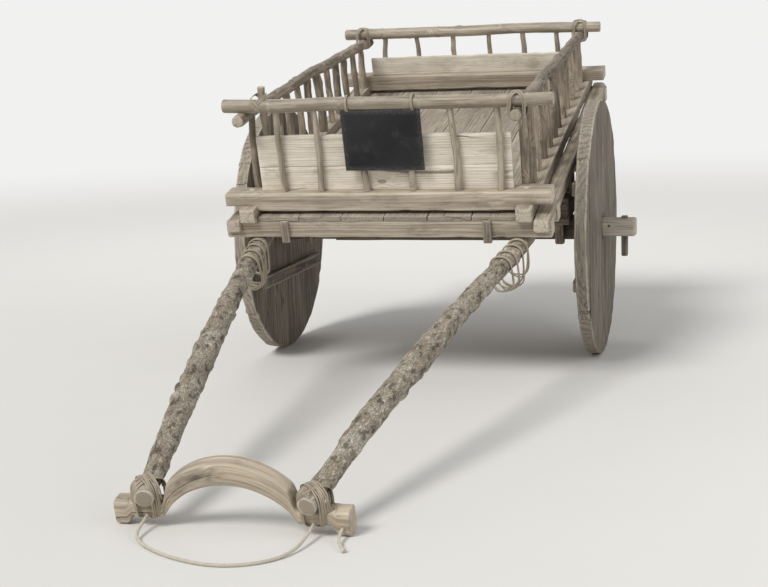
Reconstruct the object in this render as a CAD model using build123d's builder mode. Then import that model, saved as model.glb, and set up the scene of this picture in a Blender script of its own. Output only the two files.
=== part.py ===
from build123d import *
import math
import os

# A two-wheeled farm cart with solid plank wheels, a rough timber bed between stick fences,
# two log shafts and a wooden neck yoke, parked with the ends of its yoke on the floor.
# Millimetres, front towards -Y, left side towards +X, up +Z.
# The pieces are laid out level, with the axle over the origin of Y, and then the bed, shafts
# and yoke are tipped about the axle until the yoke stands on the floor beside the wheels.
os.makedirs("parts", exist_ok=True)

# Wheels and axle
wheel_diameter = 1190
wheel_width = 60
wheel_track = 1564
seam_share = 0.8
batten_height = 62
batten_thickness = 30
batten_length = 840
batten_offset = 215
axle_stub = 151
axle_square = 120
axle_chamfer = 9
tenon_square = 84
journal_radius = 59
journal_margin = 12
shoulder_radius = 62
shoulder_length = 70
linchpin_width = 30
linchpin_depth = 34
linchpin_drop = 137
linchpin_rise = 52
linchpin_from_end = 53

# Bearing blocks and the pegs that keep the axle under them
running_gap = 0.3
peg_gap = 6
block_length = 170
block_depth = 226
block_bottom = 645
block_top = 778
peg_width = 44
peg_depth = 40
peg_offset = 33
peg_bottom = 545
bolster_overhang = 10
bolster_depth = 110

# Frame under the bed
beam_bottom = 877
beam_height = 73
beam_depth = 75
beam_clear = 12
sill_height = 63
sill_width = 69
sill_gap = 2.5
rail_guard_inset = 7
rail_guard_width = 66
rail_guard_bottom = 905
rail_guard_height = 60
bed_front = -870
bed_rear = 1185
end_overhang = 25
plank_thickness = 22
plank_count = 6
plank_gap = 3
second_beam_at = -655
middle_beam_at = 540

# Fences
head_gap = 15
head_height = 80
head_depth = 100
head_setback = 25
board_thickness = 20
board_end_clear = 38
front_board_share = 0.683
board_seam_share = 0.432
tail_board_height = 96
board_joint_share = 0.564
board_gap = 0.8
stake_radius = 15
stake_setback = 32
fence_inset = 12
fence_stick_radius = 21
fence_stick_count = 12
fence_stick_clear = 6
rail_radius = 25
rail_front_rise = 335
rail_rear_rise = 159
rail_bow = 15
rail_overhang = 15
pole_radius = 30
front_pole_overhangs = (82, 148)
tail_pole_overhangs = (102, 107)
corner_post_radius = 17
corner_post_rise = 34

# Where the stakes and the corner post stand, as shares of the way from the middle to a side fence
front_stake_shares = (-0.748, -0.468, -0.128, 0.206, 0.532, 0.85)
tail_stake_shares = (-0.8, -0.493, -0.162, 0.179, 0.485, 0.8)
corner_post_share = -0.871

# Lashings, label and pegs on the front beam
cane = 8
cane_band = 12
label_width = 340
label_lift = 97
label_thickness = 8
label_centre = 18
tie_inset = 30
tie_thickness = 4
tie_width = 12
hook_peg_rise = 5
hook_peg_width = 36
hook_peg_height = 97
hook_peg_thickness = 18
hook_peg_centre = 442

# Shafts: each station's centre to the left, as a share of the way back from the tip, and up,
# and the log's radius there
shaft_shares = (
    (262, 0, 806, 33),
    (340, 0.2316, 844, 42),
    (405, 0.4073, 853, 47),
    (478, 0.6127, 858, 41),
    (566, 0.867, 839, 38),
    (592, 1, 840, 37),
)
shaft_past_yoke = 23
shaft_past_beam = 55
loop_spots = (30, 95, 170, 240)
loop_hang = 88
loop_clear = 0.9

# Yoke
yoke_centre = -2835
yoke_depth = 70
yoke_crown_top = 925
yoke_crown_bottom = 845
yoke_shoulder = 205
yoke_shoulder_top = 832
yoke_arch_half = 222
yoke_foot_inner = 335
yoke_tip = 382
yoke_neck = 50
yoke_foot_drop = 82
seat_clear = 0.3
lash_rise = 11

# Rope that passes under the neck, and its knotted tail; an arc takes this share of a run
rope_radius = 5.5
arc_share = 0.45
rope_lateral = 270
rope_drop = 39
tail_lateral = 358
tail_drop = 52
tail_start = 45
rope_start = 110
knot_radius = 9
rope_route = (
    (238, -2140, 6),
    (160, -2212, 6),
    (58, -2236, 6),
    (-46, -2208, 6),
    (-140, -2160, 6),
    (-222, -2095, 6),
)
tail_route = (
    (374, -2016, 11),
    (394, -2048, 9.3),
)

# Places worked out from the sizes above: across the cart, from the wheels inwards
axle_height = wheel_diameter / 2
wheel_inner = (wheel_track - wheel_width) / 2
axle_half = wheel_inner + wheel_width + axle_stub
journal_outer = wheel_inner - shoulder_length
block_outer = journal_outer - journal_margin
block_inner = block_outer - block_length
journal_inner = block_inner - journal_margin
bolster_half = block_outer + bolster_overhang
beam_half = wheel_inner - batten_thickness - beam_clear
rail_guard_inner = beam_half - rail_guard_inset - rail_guard_width
sill_centre = rail_guard_inner - sill_gap - sill_width / 2
sill_inner = sill_centre - sill_width / 2
fence_lateral = sill_centre - fence_inset
board_half = fence_lateral - board_end_clear
corner_post_at = corner_post_share * fence_lateral

# Upwards and along the cart
beam_top = beam_bottom + beam_height
sill_top = beam_top + sill_height
plank_top = beam_top + plank_thickness
head_bottom = plank_top + head_gap
head_top = head_bottom + head_height
head_front = bed_front + head_setback
head_back = head_front + head_depth
tail_back = bed_rear - head_setback
tail_front = tail_back - head_depth

# Shafts: they start in front of the yoke and end behind the second beam
shaft_tip = yoke_centre - yoke_depth / 2 - shaft_past_yoke
shaft_end = second_beam_at + shaft_past_beam
shaft_stations = [
    (x, shaft_tip + share * (shaft_end - shaft_tip), z, r) for x, share, z, r in shaft_shares
]

pieces = []


def keep(name, piece, rides="cart"):
    """Label a finished piece and note the body that it belongs to."""
    piece.part.label = name
    pieces.append((name, piece.part, rides))


def block(x_range, y_range, z_range):
    """A squared timber between two limits along each axis."""
    with BuildPart() as timber:
        with BuildSketch(Plane.XY.offset(z_range[0])):
            with Locations(((x_range[0] + x_range[1]) / 2, (y_range[0] + y_range[1]) / 2)):
                Rectangle(x_range[1] - x_range[0], y_range[1] - y_range[0])
        extrude(amount=z_range[1] - z_range[0])
    return timber


def mirrored(side, low, high):
    """Limits along X of a piece that lies between low and high on one side of the cart."""
    return (low, high) if side > 0 else (-high, -low)


# Axle: square in the middle, turned where the bearing blocks sit, with a square tenon
# through each wheel. It turns with both wheels.
with BuildPart() as axle:
    with BuildSketch(Plane.YZ.offset(-journal_inner)):
        with Locations((0, axle_height)):
            Rectangle(axle_square, axle_square)
    extrude(amount=2 * journal_inner)
    chamfer(axle.edges().filter_by(Axis.X), axle_chamfer)
    for side in (1, -1):
        with BuildSketch(Plane.YZ.offset(side * journal_inner)):
            with Locations((0, axle_height)):
                Circle(journal_radius)
        extrude(amount=side * (journal_outer - journal_inner))
        with BuildSketch(Plane.YZ.offset(side * journal_outer)):
            with Locations((0, axle_height)):
                Circle(shoulder_radius)
        extrude(amount=side * (wheel_inner - journal_outer))
        with BuildSketch(Plane.YZ.offset(side * wheel_inner)):
            with Locations((0, axle_height)):
                Rectangle(tenon_square, tenon_square)
        extrude(amount=side * (axle_half - wheel_inner))
    with BuildSketch(Plane.XY.offset(axle_height - tenon_square)):
        with Locations((axle_half - linchpin_from_end, 0), (linchpin_from_end - axle_half, 0)):
            Rectangle(linchpin_width, linchpin_depth)
    extrude(amount=2 * tenon_square, mode=Mode.SUBTRACT)
keep("axle", axle, "wheelset")


def wheel_plank(side, y_range, with_hole):
    """The part of a solid wheel that lies between two upright seams."""
    with BuildPart() as plank:
        with BuildSketch(Plane.YZ.offset(side * wheel_inner)):
            with Locations((0, axle_height)):
                Circle(axle_height)
            with Locations(((y_range[0] + y_range[1]) / 2, axle_height)):
                Rectangle(y_range[1] - y_range[0], wheel_diameter, mode=Mode.INTERSECT)
            if with_hole:
                with Locations((0, axle_height)):
                    Rectangle(tenon_square, tenon_square, mode=Mode.SUBTRACT)
        extrude(amount=side * wheel_width)
    return plank


seam = seam_share * axle_height
for side, word in ((1, "left"), (-1, "right")):
    keep(f"wheel_{word}_middle_plank", wheel_plank(side, (-seam, seam), True), "wheelset")
    front_cheek = wheel_plank(side, (-axle_height, -seam), False)
    keep(f"wheel_{word}_front_cheek", front_cheek, "wheelset")
    rear_cheek = wheel_plank(side, (seam, axle_height), False)
    keep(f"wheel_{word}_rear_cheek", rear_cheek, "wheelset")

    with BuildPart() as battens:
        for offset in (batten_offset, -batten_offset):
            with BuildSketch(Plane.YZ.offset(side * (wheel_inner - batten_thickness))):
                with Locations((0, axle_height + offset)):
                    Rectangle(batten_length, batten_height)
            extrude(amount=side * batten_thickness)
    keep(f"wheel_{word}_battens", battens, "wheelset")

    pin_x = side * (axle_half - linchpin_from_end)
    keep(
        f"linchpin_{word}",
        block(
            (pin_x - linchpin_width / 2, pin_x + linchpin_width / 2),
            (-linchpin_depth / 2, linchpin_depth / 2),
            (axle_height - linchpin_drop, axle_height + linchpin_rise),
        ),
        "wheelset",
    )

# Bearing blocks, each saddled over a journal, and the pegs through it before and behind
peg_near = journal_radius + peg_gap
peg_far = peg_near + peg_depth
peg_centre = (block_inner + block_outer) / 2 + peg_offset
for side, word in ((1, "left"), (-1, "right")):
    with BuildPart() as bearing:
        with BuildSketch(Plane.XY.offset(block_bottom)):
            with Locations((side * (block_inner + block_outer) / 2, 0)):
                Rectangle(block_outer - block_inner, block_depth)
            with Locations(
                (side * peg_centre, (peg_near + peg_far) / 2),
                (side * peg_centre, -(peg_near + peg_far) / 2),
            ):
                Rectangle(peg_width, peg_depth, mode=Mode.SUBTRACT)
        extrude(amount=block_top - block_bottom)
        with BuildSketch(Plane.YZ.offset(side * block_inner)):
            with Locations((0, axle_height)):
                Circle(journal_radius + running_gap)
        extrude(amount=side * (block_outer - block_inner), mode=Mode.SUBTRACT)
    keep(f"bearing_block_{word}", bearing)
    for ahead, place in ((-1, "front"), (1, "rear")):
        near, far = sorted((ahead * peg_near, ahead * peg_far))
        peg = block(
            mirrored(side, peg_centre - peg_width / 2, peg_centre + peg_width / 2),
            (near, far),
            (peg_bottom, block_top),
        )
        keep(f"axle_peg_{word}_{place}", peg)
keep(
    "bolster",
    block(
        (-bolster_half, bolster_half),
        (-bolster_depth / 2, bolster_depth / 2),
        (block_top, beam_bottom),
    ),
)

# Cross beams, each notched at its ends for the guard rails
beam_places = (
    ("front_beam", bed_front + beam_depth / 2),
    ("second_beam", second_beam_at),
    ("axle_beam", 0),
    ("middle_beam", middle_beam_at),
    ("rear_beam", bed_rear - beam_depth / 2),
)
for name, along in beam_places:
    with BuildPart() as beam:
        with BuildSketch(Plane.XY.offset(beam_bottom)):
            with Locations((0, along)):
                Rectangle(2 * beam_half, beam_depth)
        extrude(amount=beam_height)
        with BuildSketch(Plane.XY.offset(rail_guard_bottom)):
            with Locations(
                (rail_guard_inner + rail_guard_width / 2, along),
                (-rail_guard_inner - rail_guard_width / 2, along),
            ):
                Rectangle(rail_guard_width, beam_depth)
        extrude(amount=beam_top - rail_guard_bottom, mode=Mode.SUBTRACT)
    keep(name, beam)

frame_range = (bed_front - end_overhang, bed_rear + end_overhang)
for side, word in ((1, "left"), (-1, "right")):
    sill = block(
        mirrored(side, sill_inner, sill_inner + sill_width), frame_range, (beam_top, sill_top)
    )
    keep(f"side_sill_{word}", sill)
    guard = block(
        mirrored(side, rail_guard_inner, rail_guard_inner + rail_guard_width),
        frame_range,
        (rail_guard_bottom, rail_guard_bottom + rail_guard_height),
    )
    keep(f"guard_rail_{word}", guard)

# Floor planks, side by side between the sills
plank_width = (2 * sill_inner - (plank_count + 1) * plank_gap) / plank_count
with BuildPart() as floor:
    with BuildSketch(Plane.XY.offset(beam_top)):
        with Locations((0, (bed_front + bed_rear) / 2)):
            with GridLocations(plank_width + plank_gap, 0, plank_count, 1):
                Rectangle(plank_width, bed_rear - bed_front)
    extrude(amount=plank_thickness)
keep("floor_planks", floor)

# Head beams across the sills, notched over them
head_beams = (
    ("front_head_beam", (head_front, head_back)),
    ("tail_head_beam", (tail_front, tail_back)),
)
for name, y_range in head_beams:
    with BuildPart() as head:
        with BuildSketch(Plane.XY.offset(head_bottom)):
            with Locations((0, sum(y_range) / 2)):
                Rectangle(2 * beam_half, head_depth)
        extrude(amount=head_height)
        with BuildSketch(Plane.XY.offset(head_bottom)):
            with Locations((sill_centre, sum(y_range) / 2), (-sill_centre, sum(y_range) / 2)):
                Rectangle(sill_width, head_depth)
            with Locations((beam_half, sum(y_range) / 2), (-beam_half, sum(y_range) / 2)):
                Rectangle(2 * (beam_half - sill_centre), head_depth)
        extrude(amount=sill_top - head_bottom, mode=Mode.SUBTRACT)
    keep(name, head)

# Top rails: one gentle arc each, higher in front
rail_ends = (bed_front - rail_overhang, bed_rear + rail_overhang)
rail_points = (
    (rail_ends[0], head_top + rail_front_rise),
    (sum(rail_ends) / 2, head_top + (rail_front_rise + rail_rear_rise) / 2 + rail_bow),
    (rail_ends[1], head_top + rail_rear_rise),
)


def circle_through(first, second, third):
    """Centre and radius of the circle through three points of a plane."""
    (ax, ay), (bx, by), (cx, cy) = first, second, third
    turn = 2 * (ax * (by - cy) + bx * (cy - ay) + cx * (ay - by))
    a2, b2, c2 = ax * ax + ay * ay, bx * bx + by * by, cx * cx + cy * cy
    x = (a2 * (by - cy) + b2 * (cy - ay) + c2 * (ay - by)) / turn
    y = (a2 * (cx - bx) + b2 * (ax - cx) + c2 * (bx - ax)) / turn
    return (x, y), math.dist((x, y), first)


(arc_y, arc_z), arc_radius = circle_through(*rail_points)


def height_over_arc(y, outwards):
    """Height at y of the circle that lies outwards of the rail's centre line."""
    return arc_z + math.sqrt((arc_radius + outwards) ** 2 - (y - arc_y) ** 2)


for side, word in ((1, "left"), (-1, "right")):
    with BuildPart() as rail:
        with BuildLine() as rail_line:
            ThreePointArc(*[(side * fence_lateral, y, z) for y, z in rail_points])
        with BuildSketch(Plane(origin=rail_line.line @ 0, z_dir=rail_line.line % 0)):
            Circle(rail_radius)
        sweep()
    keep(f"top_rail_{word}", rail)

    # Sticks of the side fence stand on the sill and carry the rail
    first_stick = head_back + fence_stick_radius + fence_stick_clear
    last_stick = tail_front - fence_stick_radius - fence_stick_clear
    stick_step = (last_stick - first_stick) / (fence_stick_count - 1)
    with BuildPart() as sticks:
        for number in range(fence_stick_count):
            y = first_stick + number * stick_step
            top = min(
                height_over_arc(y - fence_stick_radius, -rail_radius),
                height_over_arc(y + fence_stick_radius, -rail_radius),
            )
            with BuildSketch(Plane.XY.offset(sill_top)):
                with Locations((side * fence_lateral, y)):
                    Circle(fence_stick_radius)
            extrude(amount=top - sill_top)
    keep(f"fence_sticks_{word}", sticks)

# Cross poles on the rails, and under each a row of stakes that stands on its head beam
front_line = head_front + stake_setback
tail_line = tail_back - stake_setback
fence_ends = (
    ("front", front_line, front_pole_overhangs, front_stake_shares),
    ("tail", tail_line, tail_pole_overhangs, tail_stake_shares),
)
pole_heights = {}
for word, along, overhangs, shares in fence_ends:
    pole_heights[word] = height_over_arc(along, rail_radius + pole_radius)
    with BuildPart() as pole:
        with BuildSketch(Plane.YZ.offset(-fence_lateral - overhangs[0])):
            with Locations((along, pole_heights[word])):
                Circle(pole_radius)
        extrude(amount=2 * fence_lateral + sum(overhangs))
    keep(f"{word}_pole", pole)
    with BuildPart() as row:
        with BuildSketch(Plane.XY.offset(head_top)):
            with Locations(*[(share * fence_lateral, along) for share in shares]):
                Circle(stake_radius)
        extrude(amount=pole_heights[word] - pole_radius - head_top)
    keep(f"{word}_stakes", row)

# Boards on edge behind the stakes: two courses in front, the first course split at a joint
front_boards_from = front_line + stake_radius
front_board_height = front_board_share * (pole_heights["front"] - pole_radius - head_top)
seam_height = board_seam_share * front_board_height
joint_at = board_joint_share * board_half
with BuildPart() as front_boards:
    for x_range, z_range in (
        ((-board_half, joint_at), (0, seam_height)),
        ((joint_at + board_gap, board_half), (0, seam_height)),
        ((-board_half, board_half), (seam_height + board_gap, front_board_height)),
    ):
        with BuildSketch(Plane.XY.offset(head_top + z_range[0])):
            with Locations((sum(x_range) / 2, front_boards_from + board_thickness / 2)):
                Rectangle(x_range[1] - x_range[0], board_thickness)
        extrude(amount=z_range[1] - z_range[0])
keep("front_boards", front_boards)
keep(
    "tail_board",
    block(
        (-board_half, board_half),
        (tail_line - stake_radius - board_thickness, tail_line - stake_radius),
        (head_top, head_top + tail_board_height),
    ),
)

# Corner post behind the front pole, at the right
post_line = front_boards_from + board_thickness + corner_post_radius
post_top = pole_heights["front"] + pole_radius + corner_post_rise
with BuildPart() as corner_post:
    with BuildSketch(Plane.XY.offset(head_top)):
        with Locations((corner_post_at, post_line)):
            Circle(corner_post_radius)
    extrude(amount=post_top - head_top)
keep("corner_post", corner_post)


def band(x_dir, z_dir, centre, opening, thickness, width):
    """A closed band of cane strips, with a rectangular opening, on the plane given."""
    with BuildPart() as ring:
        with BuildSketch(Plane(origin=centre, x_dir=x_dir, z_dir=z_dir)):
            RectangleRounded(opening[0] + 2 * thickness, opening[1] + 2 * thickness, thickness)
            Rectangle(*opening, mode=Mode.SUBTRACT)
        extrude(amount=width / 2, both=True)
    return ring


def cross_lashing(centre, opening, thickness, width):
    """Two upright bands that cross over a joint between timbers, one outside the other."""
    inner = band((1, 1, 0), (1, -1, 0), centre, opening, thickness, width)
    wider = (opening[0] + 2 * thickness, opening[1] + 2 * thickness)
    outer = band((1, -1, 0), (1, 1, 0), centre, wider, thickness, width)
    with BuildPart() as lashing:
        add(inner.part)
        add(outer.part)
    return lashing


# Lashings where a cross pole lies on a rail; the front right one is tied to the post instead
diagonal = math.sqrt(2)
with BuildPart() as pole_lashings:
    for word, along, overhangs, shares in fence_ends:
        low = height_over_arc(along, -rail_radius) - lash_rise
        high = pole_heights[word] + pole_radius + seat_clear
        opening = (2 * diagonal * pole_radius + cane_band, high - low)
        for side in (1, -1):
            if word == "front" and side < 0:
                continue
            add(
                cross_lashing(
                    (side * fence_lateral, along, (low + high) / 2), opening, cane, cane_band
                ).part
            )
keep("pole_lashings", pole_lashings)

# Crossed bands that tie the front pole to the corner post behind it
post_reach = (front_line - pole_radius - seat_clear, post_line + corner_post_radius + seat_clear)
post_opening = (2 * diagonal * pole_radius + cane_band, post_reach[1] - post_reach[0])
post_joint = (corner_post_at, sum(post_reach) / 2, pole_heights["front"])
wider_opening = (post_opening[0] + 2 * cane, post_opening[1] + 2 * cane)
with BuildPart() as post_lashing:
    add(band((1, 0, 1), (1, 0, -1), post_joint, post_opening, cane, cane_band).part)
    add(band((1, 0, -1), (1, 0, 1), post_joint, wider_opening, cane, cane_band).part)
keep("post_lashing", post_lashing)

# Blank label board hung from the front pole by two loops, against the stakes
loop_radius = pole_radius + seat_clear
loops_cut = 4 * loop_radius
label_back = front_line - stake_radius
label_middle = label_back - label_thickness / 2
label_top = pole_heights["front"] - math.sqrt(
    (loop_radius + tie_thickness) ** 2 - (label_middle - front_line) ** 2
)
label_height = label_top - head_top - label_lift
keep(
    "label_board",
    block(
        (label_centre - label_width / 2, label_centre + label_width / 2),
        (label_back - label_thickness, label_back),
        (label_top - label_height, label_top),
    ),
)
with BuildPart() as label_ties:
    for at in (-1, 1):
        tie_at = label_centre + at * (label_width / 2 - tie_inset)
        with BuildSketch(Plane.YZ.offset(tie_at - tie_width / 2)):
            with Locations((front_line, pole_heights["front"])):
                Circle(loop_radius + tie_thickness)
                Circle(loop_radius, mode=Mode.SUBTRACT)
            with Locations((front_line, label_top - label_height / 2)):
                Rectangle(loops_cut, label_height, mode=Mode.SUBTRACT)
        extrude(amount=tie_width)
keep("label_ties", label_ties)

# Flat pegs on the face of the front beam, for tying up
with BuildPart() as hook_pegs:
    with BuildSketch(Plane.XY.offset(beam_top - hook_peg_height + hook_peg_rise)):
        with Locations(
            (hook_peg_centre, bed_front - hook_peg_thickness / 2),
            (-hook_peg_centre, bed_front - hook_peg_thickness / 2),
        ):
            Rectangle(hook_peg_width, hook_peg_thickness)
    extrude(amount=hook_peg_height)
keep("hook_pegs", hook_pegs)


def shaft_at(along):
    """Lateral place, height and radius of a shaft at a place along the cart."""
    for (x0, y0, z0, r0), (x1, y1, z1, r1) in zip(shaft_stations, shaft_stations[1:]):
        if along <= y1:
            break
    share = (along - y0) / (y1 - y0)
    return x0 + share * (x1 - x0), z0 + share * (z1 - z0), r0 + share * (r1 - r0)


# Shafts: crooked tapering logs under the front and second beams
for side, word in ((1, "left"), (-1, "right")):
    with BuildPart() as shaft:
        for x, y, z, r in shaft_stations:
            with BuildSketch(Plane(origin=(side * x, y, z), x_dir=(1, 0, 0), z_dir=(0, 1, 0))):
                Circle(r)
        loft(ruled=True)
    keep(f"shaft_{word}", shaft)

    # Stiff cane loops that hang on the shaft in front of the beam
    with BuildPart() as loops:
        for spot in loop_spots:
            along = bed_front - spot
            x, z, r = shaft_at(along)
            hole = r + loop_clear
            middle = (side * x, along, z - loop_hang / 2)
            with BuildSketch(Plane(origin=middle, x_dir=(1, 0, 0), z_dir=(0, 1, 0))):
                SlotCenterToCenter(loop_hang, 2 * (hole + cane), rotation=90)
                SlotCenterToCenter(loop_hang, 2 * hole, rotation=90, mode=Mode.SUBTRACT)
            extrude(amount=cane / 2, both=True)
    keep(f"shaft_loops_{word}", loops)

# Yoke: an arched timber whose ends carry the shafts' tips and stand on a foot each
yoke_front = yoke_centre - yoke_depth / 2
tip_x, tip_z, tip_radius = shaft_at(yoke_front)
seat = tip_z - tip_radius - seat_clear
neck_bottom = seat - yoke_neck
foot_bottom = seat - yoke_foot_drop
with BuildPart() as yoke:
    with BuildSketch(Plane.XZ.offset(-yoke_centre - yoke_depth / 2)) as yoke_face:
        with BuildLine():
            ThreePointArc(
                (-yoke_shoulder, yoke_shoulder_top),
                (0, yoke_crown_top),
                (yoke_shoulder, yoke_shoulder_top),
            )
            Polyline(
                (yoke_shoulder, yoke_shoulder_top),
                (yoke_shoulder, seat),
                (yoke_tip, seat),
                (yoke_tip, foot_bottom),
                (yoke_foot_inner, foot_bottom),
                (yoke_foot_inner, neck_bottom),
                (yoke_arch_half, neck_bottom),
            )
            ThreePointArc(
                (yoke_arch_half, neck_bottom),
                (0, yoke_crown_bottom),
                (-yoke_arch_half, neck_bottom),
            )
            Polyline(
                (-yoke_arch_half, neck_bottom),
                (-yoke_foot_inner, neck_bottom),
                (-yoke_foot_inner, foot_bottom),
                (-yoke_tip, foot_bottom),
                (-yoke_tip, seat),
                (-yoke_shoulder, seat),
                (-yoke_shoulder, yoke_shoulder_top),
            )
        make_face()
    extrude(amount=yoke_depth)
keep("yoke", yoke)

# Lashings that hold the shafts' tips on the yoke
middle_x, middle_z, middle_radius = shaft_at(yoke_centre)
low = neck_bottom - seat_clear
high = middle_z + middle_radius + lash_rise
half = diagonal * max(yoke_depth / 2, middle_radius) + cane_band / 2 + lash_rise
for side, word in ((1, "left"), (-1, "right")):
    joint = (side * middle_x, yoke_centre, (low + high) / 2)
    keep(f"yoke_lashing_{word}", cross_lashing(joint, (2 * half, high - low), cane, cane_band))


def pitch_to_floor(points):
    """Angle that the bed tips forward, in radians, until one of the points is at Z = 0."""
    angles = []
    for point in points:
        ahead = -point.Y
        above = point.Z - axle_height
        reach = math.hypot(ahead, above)
        if reach > axle_height and ahead > 0:
            angles.append(math.atan2(above, ahead) + math.asin(axle_height / reach))
    return min(angles)


foot_points = [vertex.center() for vertex in yoke.part.vertices()]
pitch = pitch_to_floor(foot_points)
axle_line = Axis((0, 0, axle_height), (1, 0, 0))
parked = []
for name, piece, rides in pieces:
    if rides == "cart":
        piece = piece.rotate(axle_line, math.degrees(pitch))
        piece.label = name
    parked.append((name, piece, rides))

# The origin is on the floor under the middle of the parked cart
spread = Compound(children=[Part(piece.wrapped) for name, piece, rides in parked]).bounding_box()
middle = Vector((spread.min.X + spread.max.X) / 2, (spread.min.Y + spread.max.Y) / 2, 0)
print("pitch in degrees", round(math.degrees(pitch), 3), "shift", middle, "box", spread)


def parked_point(x, y, z):
    """Where a point of the level cart lies once it is parked."""
    ahead = y * math.cos(pitch) - (z - axle_height) * math.sin(pitch)
    up = axle_height + y * math.sin(pitch) + (z - axle_height) * math.cos(pitch)
    return Vector(x, ahead, up) - middle


def corner_radii(route):
    """Radius of the arc at each inner point of a rope's route."""
    radii = []
    for before, point, after in zip(route, route[1:], route[2:]):
        turn = math.radians((point - before).get_angle(after - point))
        shorter = min((point - before).length, (after - point).length)
        radii.append(arc_share * shorter / math.tan(turn / 2))
    return radii


def rope_tube(name, route):
    """A rope's tube: straight runs joined by tangent arcs."""
    radii = corner_radii(route)
    with BuildPart() as tube:
        with BuildLine() as path:
            FilletPolyline(*route, radius=radii)
        with BuildSketch(Plane(origin=path.line @ 0, z_dir=path.line % 0)):
            Circle(rope_radius)
        sweep()
    length = sum(edge.length for edge in path.edges())
    expected = math.pi * rope_radius**2 * length
    print(name, "length", round(length, 1), "volume share", round(tube.part.volume / expected, 5))
    print(name, "radii", [round(radius) for radius in radii])
    return tube


# Ropes, placed on the floor in front of the parked yoke
out_of_yoke = Vector(0, -math.cos(pitch), -math.sin(pitch))
left_exit = parked_point(rope_lateral, yoke_front, seat - rope_drop)
right_exit = parked_point(-rope_lateral, yoke_front, seat - rope_drop)
throat_route = [left_exit, left_exit + out_of_yoke * rope_start]
throat_route += [Vector(*point) for point in rope_route]
throat_route += [right_exit + out_of_yoke * rope_start, right_exit]
throat_rope = rope_tube("throat_rope", throat_route)
tail_exit = parked_point(tail_lateral, yoke_front, seat - tail_drop)
tail_points = [tail_exit, tail_exit + out_of_yoke * tail_start]
tail_points += [Vector(*point) for point in tail_route]
rope_tail = rope_tube("rope_tail", tail_points)
print("exits", left_exit, tail_exit, "direction", out_of_yoke)

tail_way = (tail_points[-1] - tail_points[-2]).normalized()
knot_centre = tail_points[-1] + tail_way * math.sqrt(knot_radius**2 - rope_radius**2)
with BuildPart() as rope_knot:
    with Locations(knot_centre):
        Sphere(knot_radius)
    split(bisect_by=Plane(origin=tail_points[-1], z_dir=tail_way), keep=Keep.TOP)

for name, piece, rides in parked:
    placed = piece.moved(Location(-middle))
    placed.label = name
    export_step(placed, f"parts/{name}.step")
ropes = (("throat_rope", throat_rope), ("rope_tail", rope_tail), ("rope_knot", rope_knot))
for name, rope in ropes:
    rope.part.label = name
    export_step(rope.part, f"parts/{name}.step")
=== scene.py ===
import math

import bpy
import numpy as np
from mathutils import Matrix


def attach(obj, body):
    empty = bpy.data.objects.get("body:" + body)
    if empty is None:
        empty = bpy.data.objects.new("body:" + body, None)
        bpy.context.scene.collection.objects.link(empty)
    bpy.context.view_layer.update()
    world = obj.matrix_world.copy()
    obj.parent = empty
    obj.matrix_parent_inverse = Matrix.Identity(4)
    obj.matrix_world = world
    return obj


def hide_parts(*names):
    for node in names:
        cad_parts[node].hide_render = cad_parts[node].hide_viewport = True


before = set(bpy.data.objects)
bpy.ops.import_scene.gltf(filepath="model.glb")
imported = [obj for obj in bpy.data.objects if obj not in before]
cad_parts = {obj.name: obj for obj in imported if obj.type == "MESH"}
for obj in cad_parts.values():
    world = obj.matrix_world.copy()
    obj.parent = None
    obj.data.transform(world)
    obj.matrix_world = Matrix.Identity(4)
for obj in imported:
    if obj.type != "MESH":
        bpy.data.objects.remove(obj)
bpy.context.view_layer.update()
print("frame loaded:", len(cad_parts), "nodes")

parking = {
    "axleHeight": 0.595,
    "axleAlong": 0.888675,
    "noseDown": 13.893112,  # degrees about the axle
}
axleHeight = parking["axleHeight"]
tipSine = math.sin(math.radians(parking["noseDown"]))
tipCosine = math.cos(math.radians(parking["noseDown"]))
sides = (("left", 1), ("right", -1))


# Level cart to parked cart. The bed turns about the axle: along' = y cos a - (z - h) sin a and
# up' = h + y sin a + (z - h) cos a. The wheels only move with the axle.
def parked(points, body="cart"):
    y, z = points[..., 1], points[..., 2] - axleHeight
    if body == "cart":
        y, z = y * tipCosine - z * tipSine, y * tipSine + z * tipCosine
    return np.stack([points[..., 0], y + parking["axleAlong"], z + axleHeight], -1)


# The way back: the transpose of that turn.
def levelled(points, body="cart"):
    y, z = points[..., 1] - parking["axleAlong"], points[..., 2] - axleHeight
    if body == "cart":
        y, z = y * tipCosine + z * tipSine, z * tipCosine - y * tipSine
    return np.stack([points[..., 0], y, z + axleHeight], -1)


# Each vector divided by its length.
def unit(vectors):
    return vectors / np.linalg.norm(vectors, axis=-1, keepdims=True)


# Length of a line up to each of its points: the running sum of its steps.
def goneAlong(line):
    return np.append(0, np.cumsum(np.linalg.norm(np.diff(line, axis=0), axis=1)))


# The same line with its points an even step apart, measured along it.
def evenly(line, step):
    gone = goneAlong(line)
    wanted = np.linspace(0, gone[-1], max(4, int(round(gone[-1] / step)) + 1))
    return np.stack([np.interp(wanted, gone, line[:, k]) for k in range(3)], -1)


# Line through the points with even steps. Between two points it is the cubic whose slope at
# each is half the way from the point before to the point after.
def smoothLine(points, step):
    points = np.array(points, float)
    padded = np.vstack([2 * points[0] - points[1], points, 2 * points[-1] - points[-2]])
    place = np.linspace(0, len(points) - 1 - 1e-9, 24 * len(points))
    at = place.astype(int)
    t = (place - at)[:, None]
    a, b, c, d = (padded[at + k] for k in range(4))
    line = 0.5 * (
        2 * b + (c - a) * t + (2 * a - 5 * b + 4 * c - d) * t**2 + (3 * b - a - 3 * c + d) * t**3
    )
    return evenly(line, step)


# Cosines and sines of evenly spaced angles round a section.
def circle(marks):
    turn = np.linspace(0, 2 * math.pi, marks, endpoint=False)
    return np.cos(turn), np.sin(turn)


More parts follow.
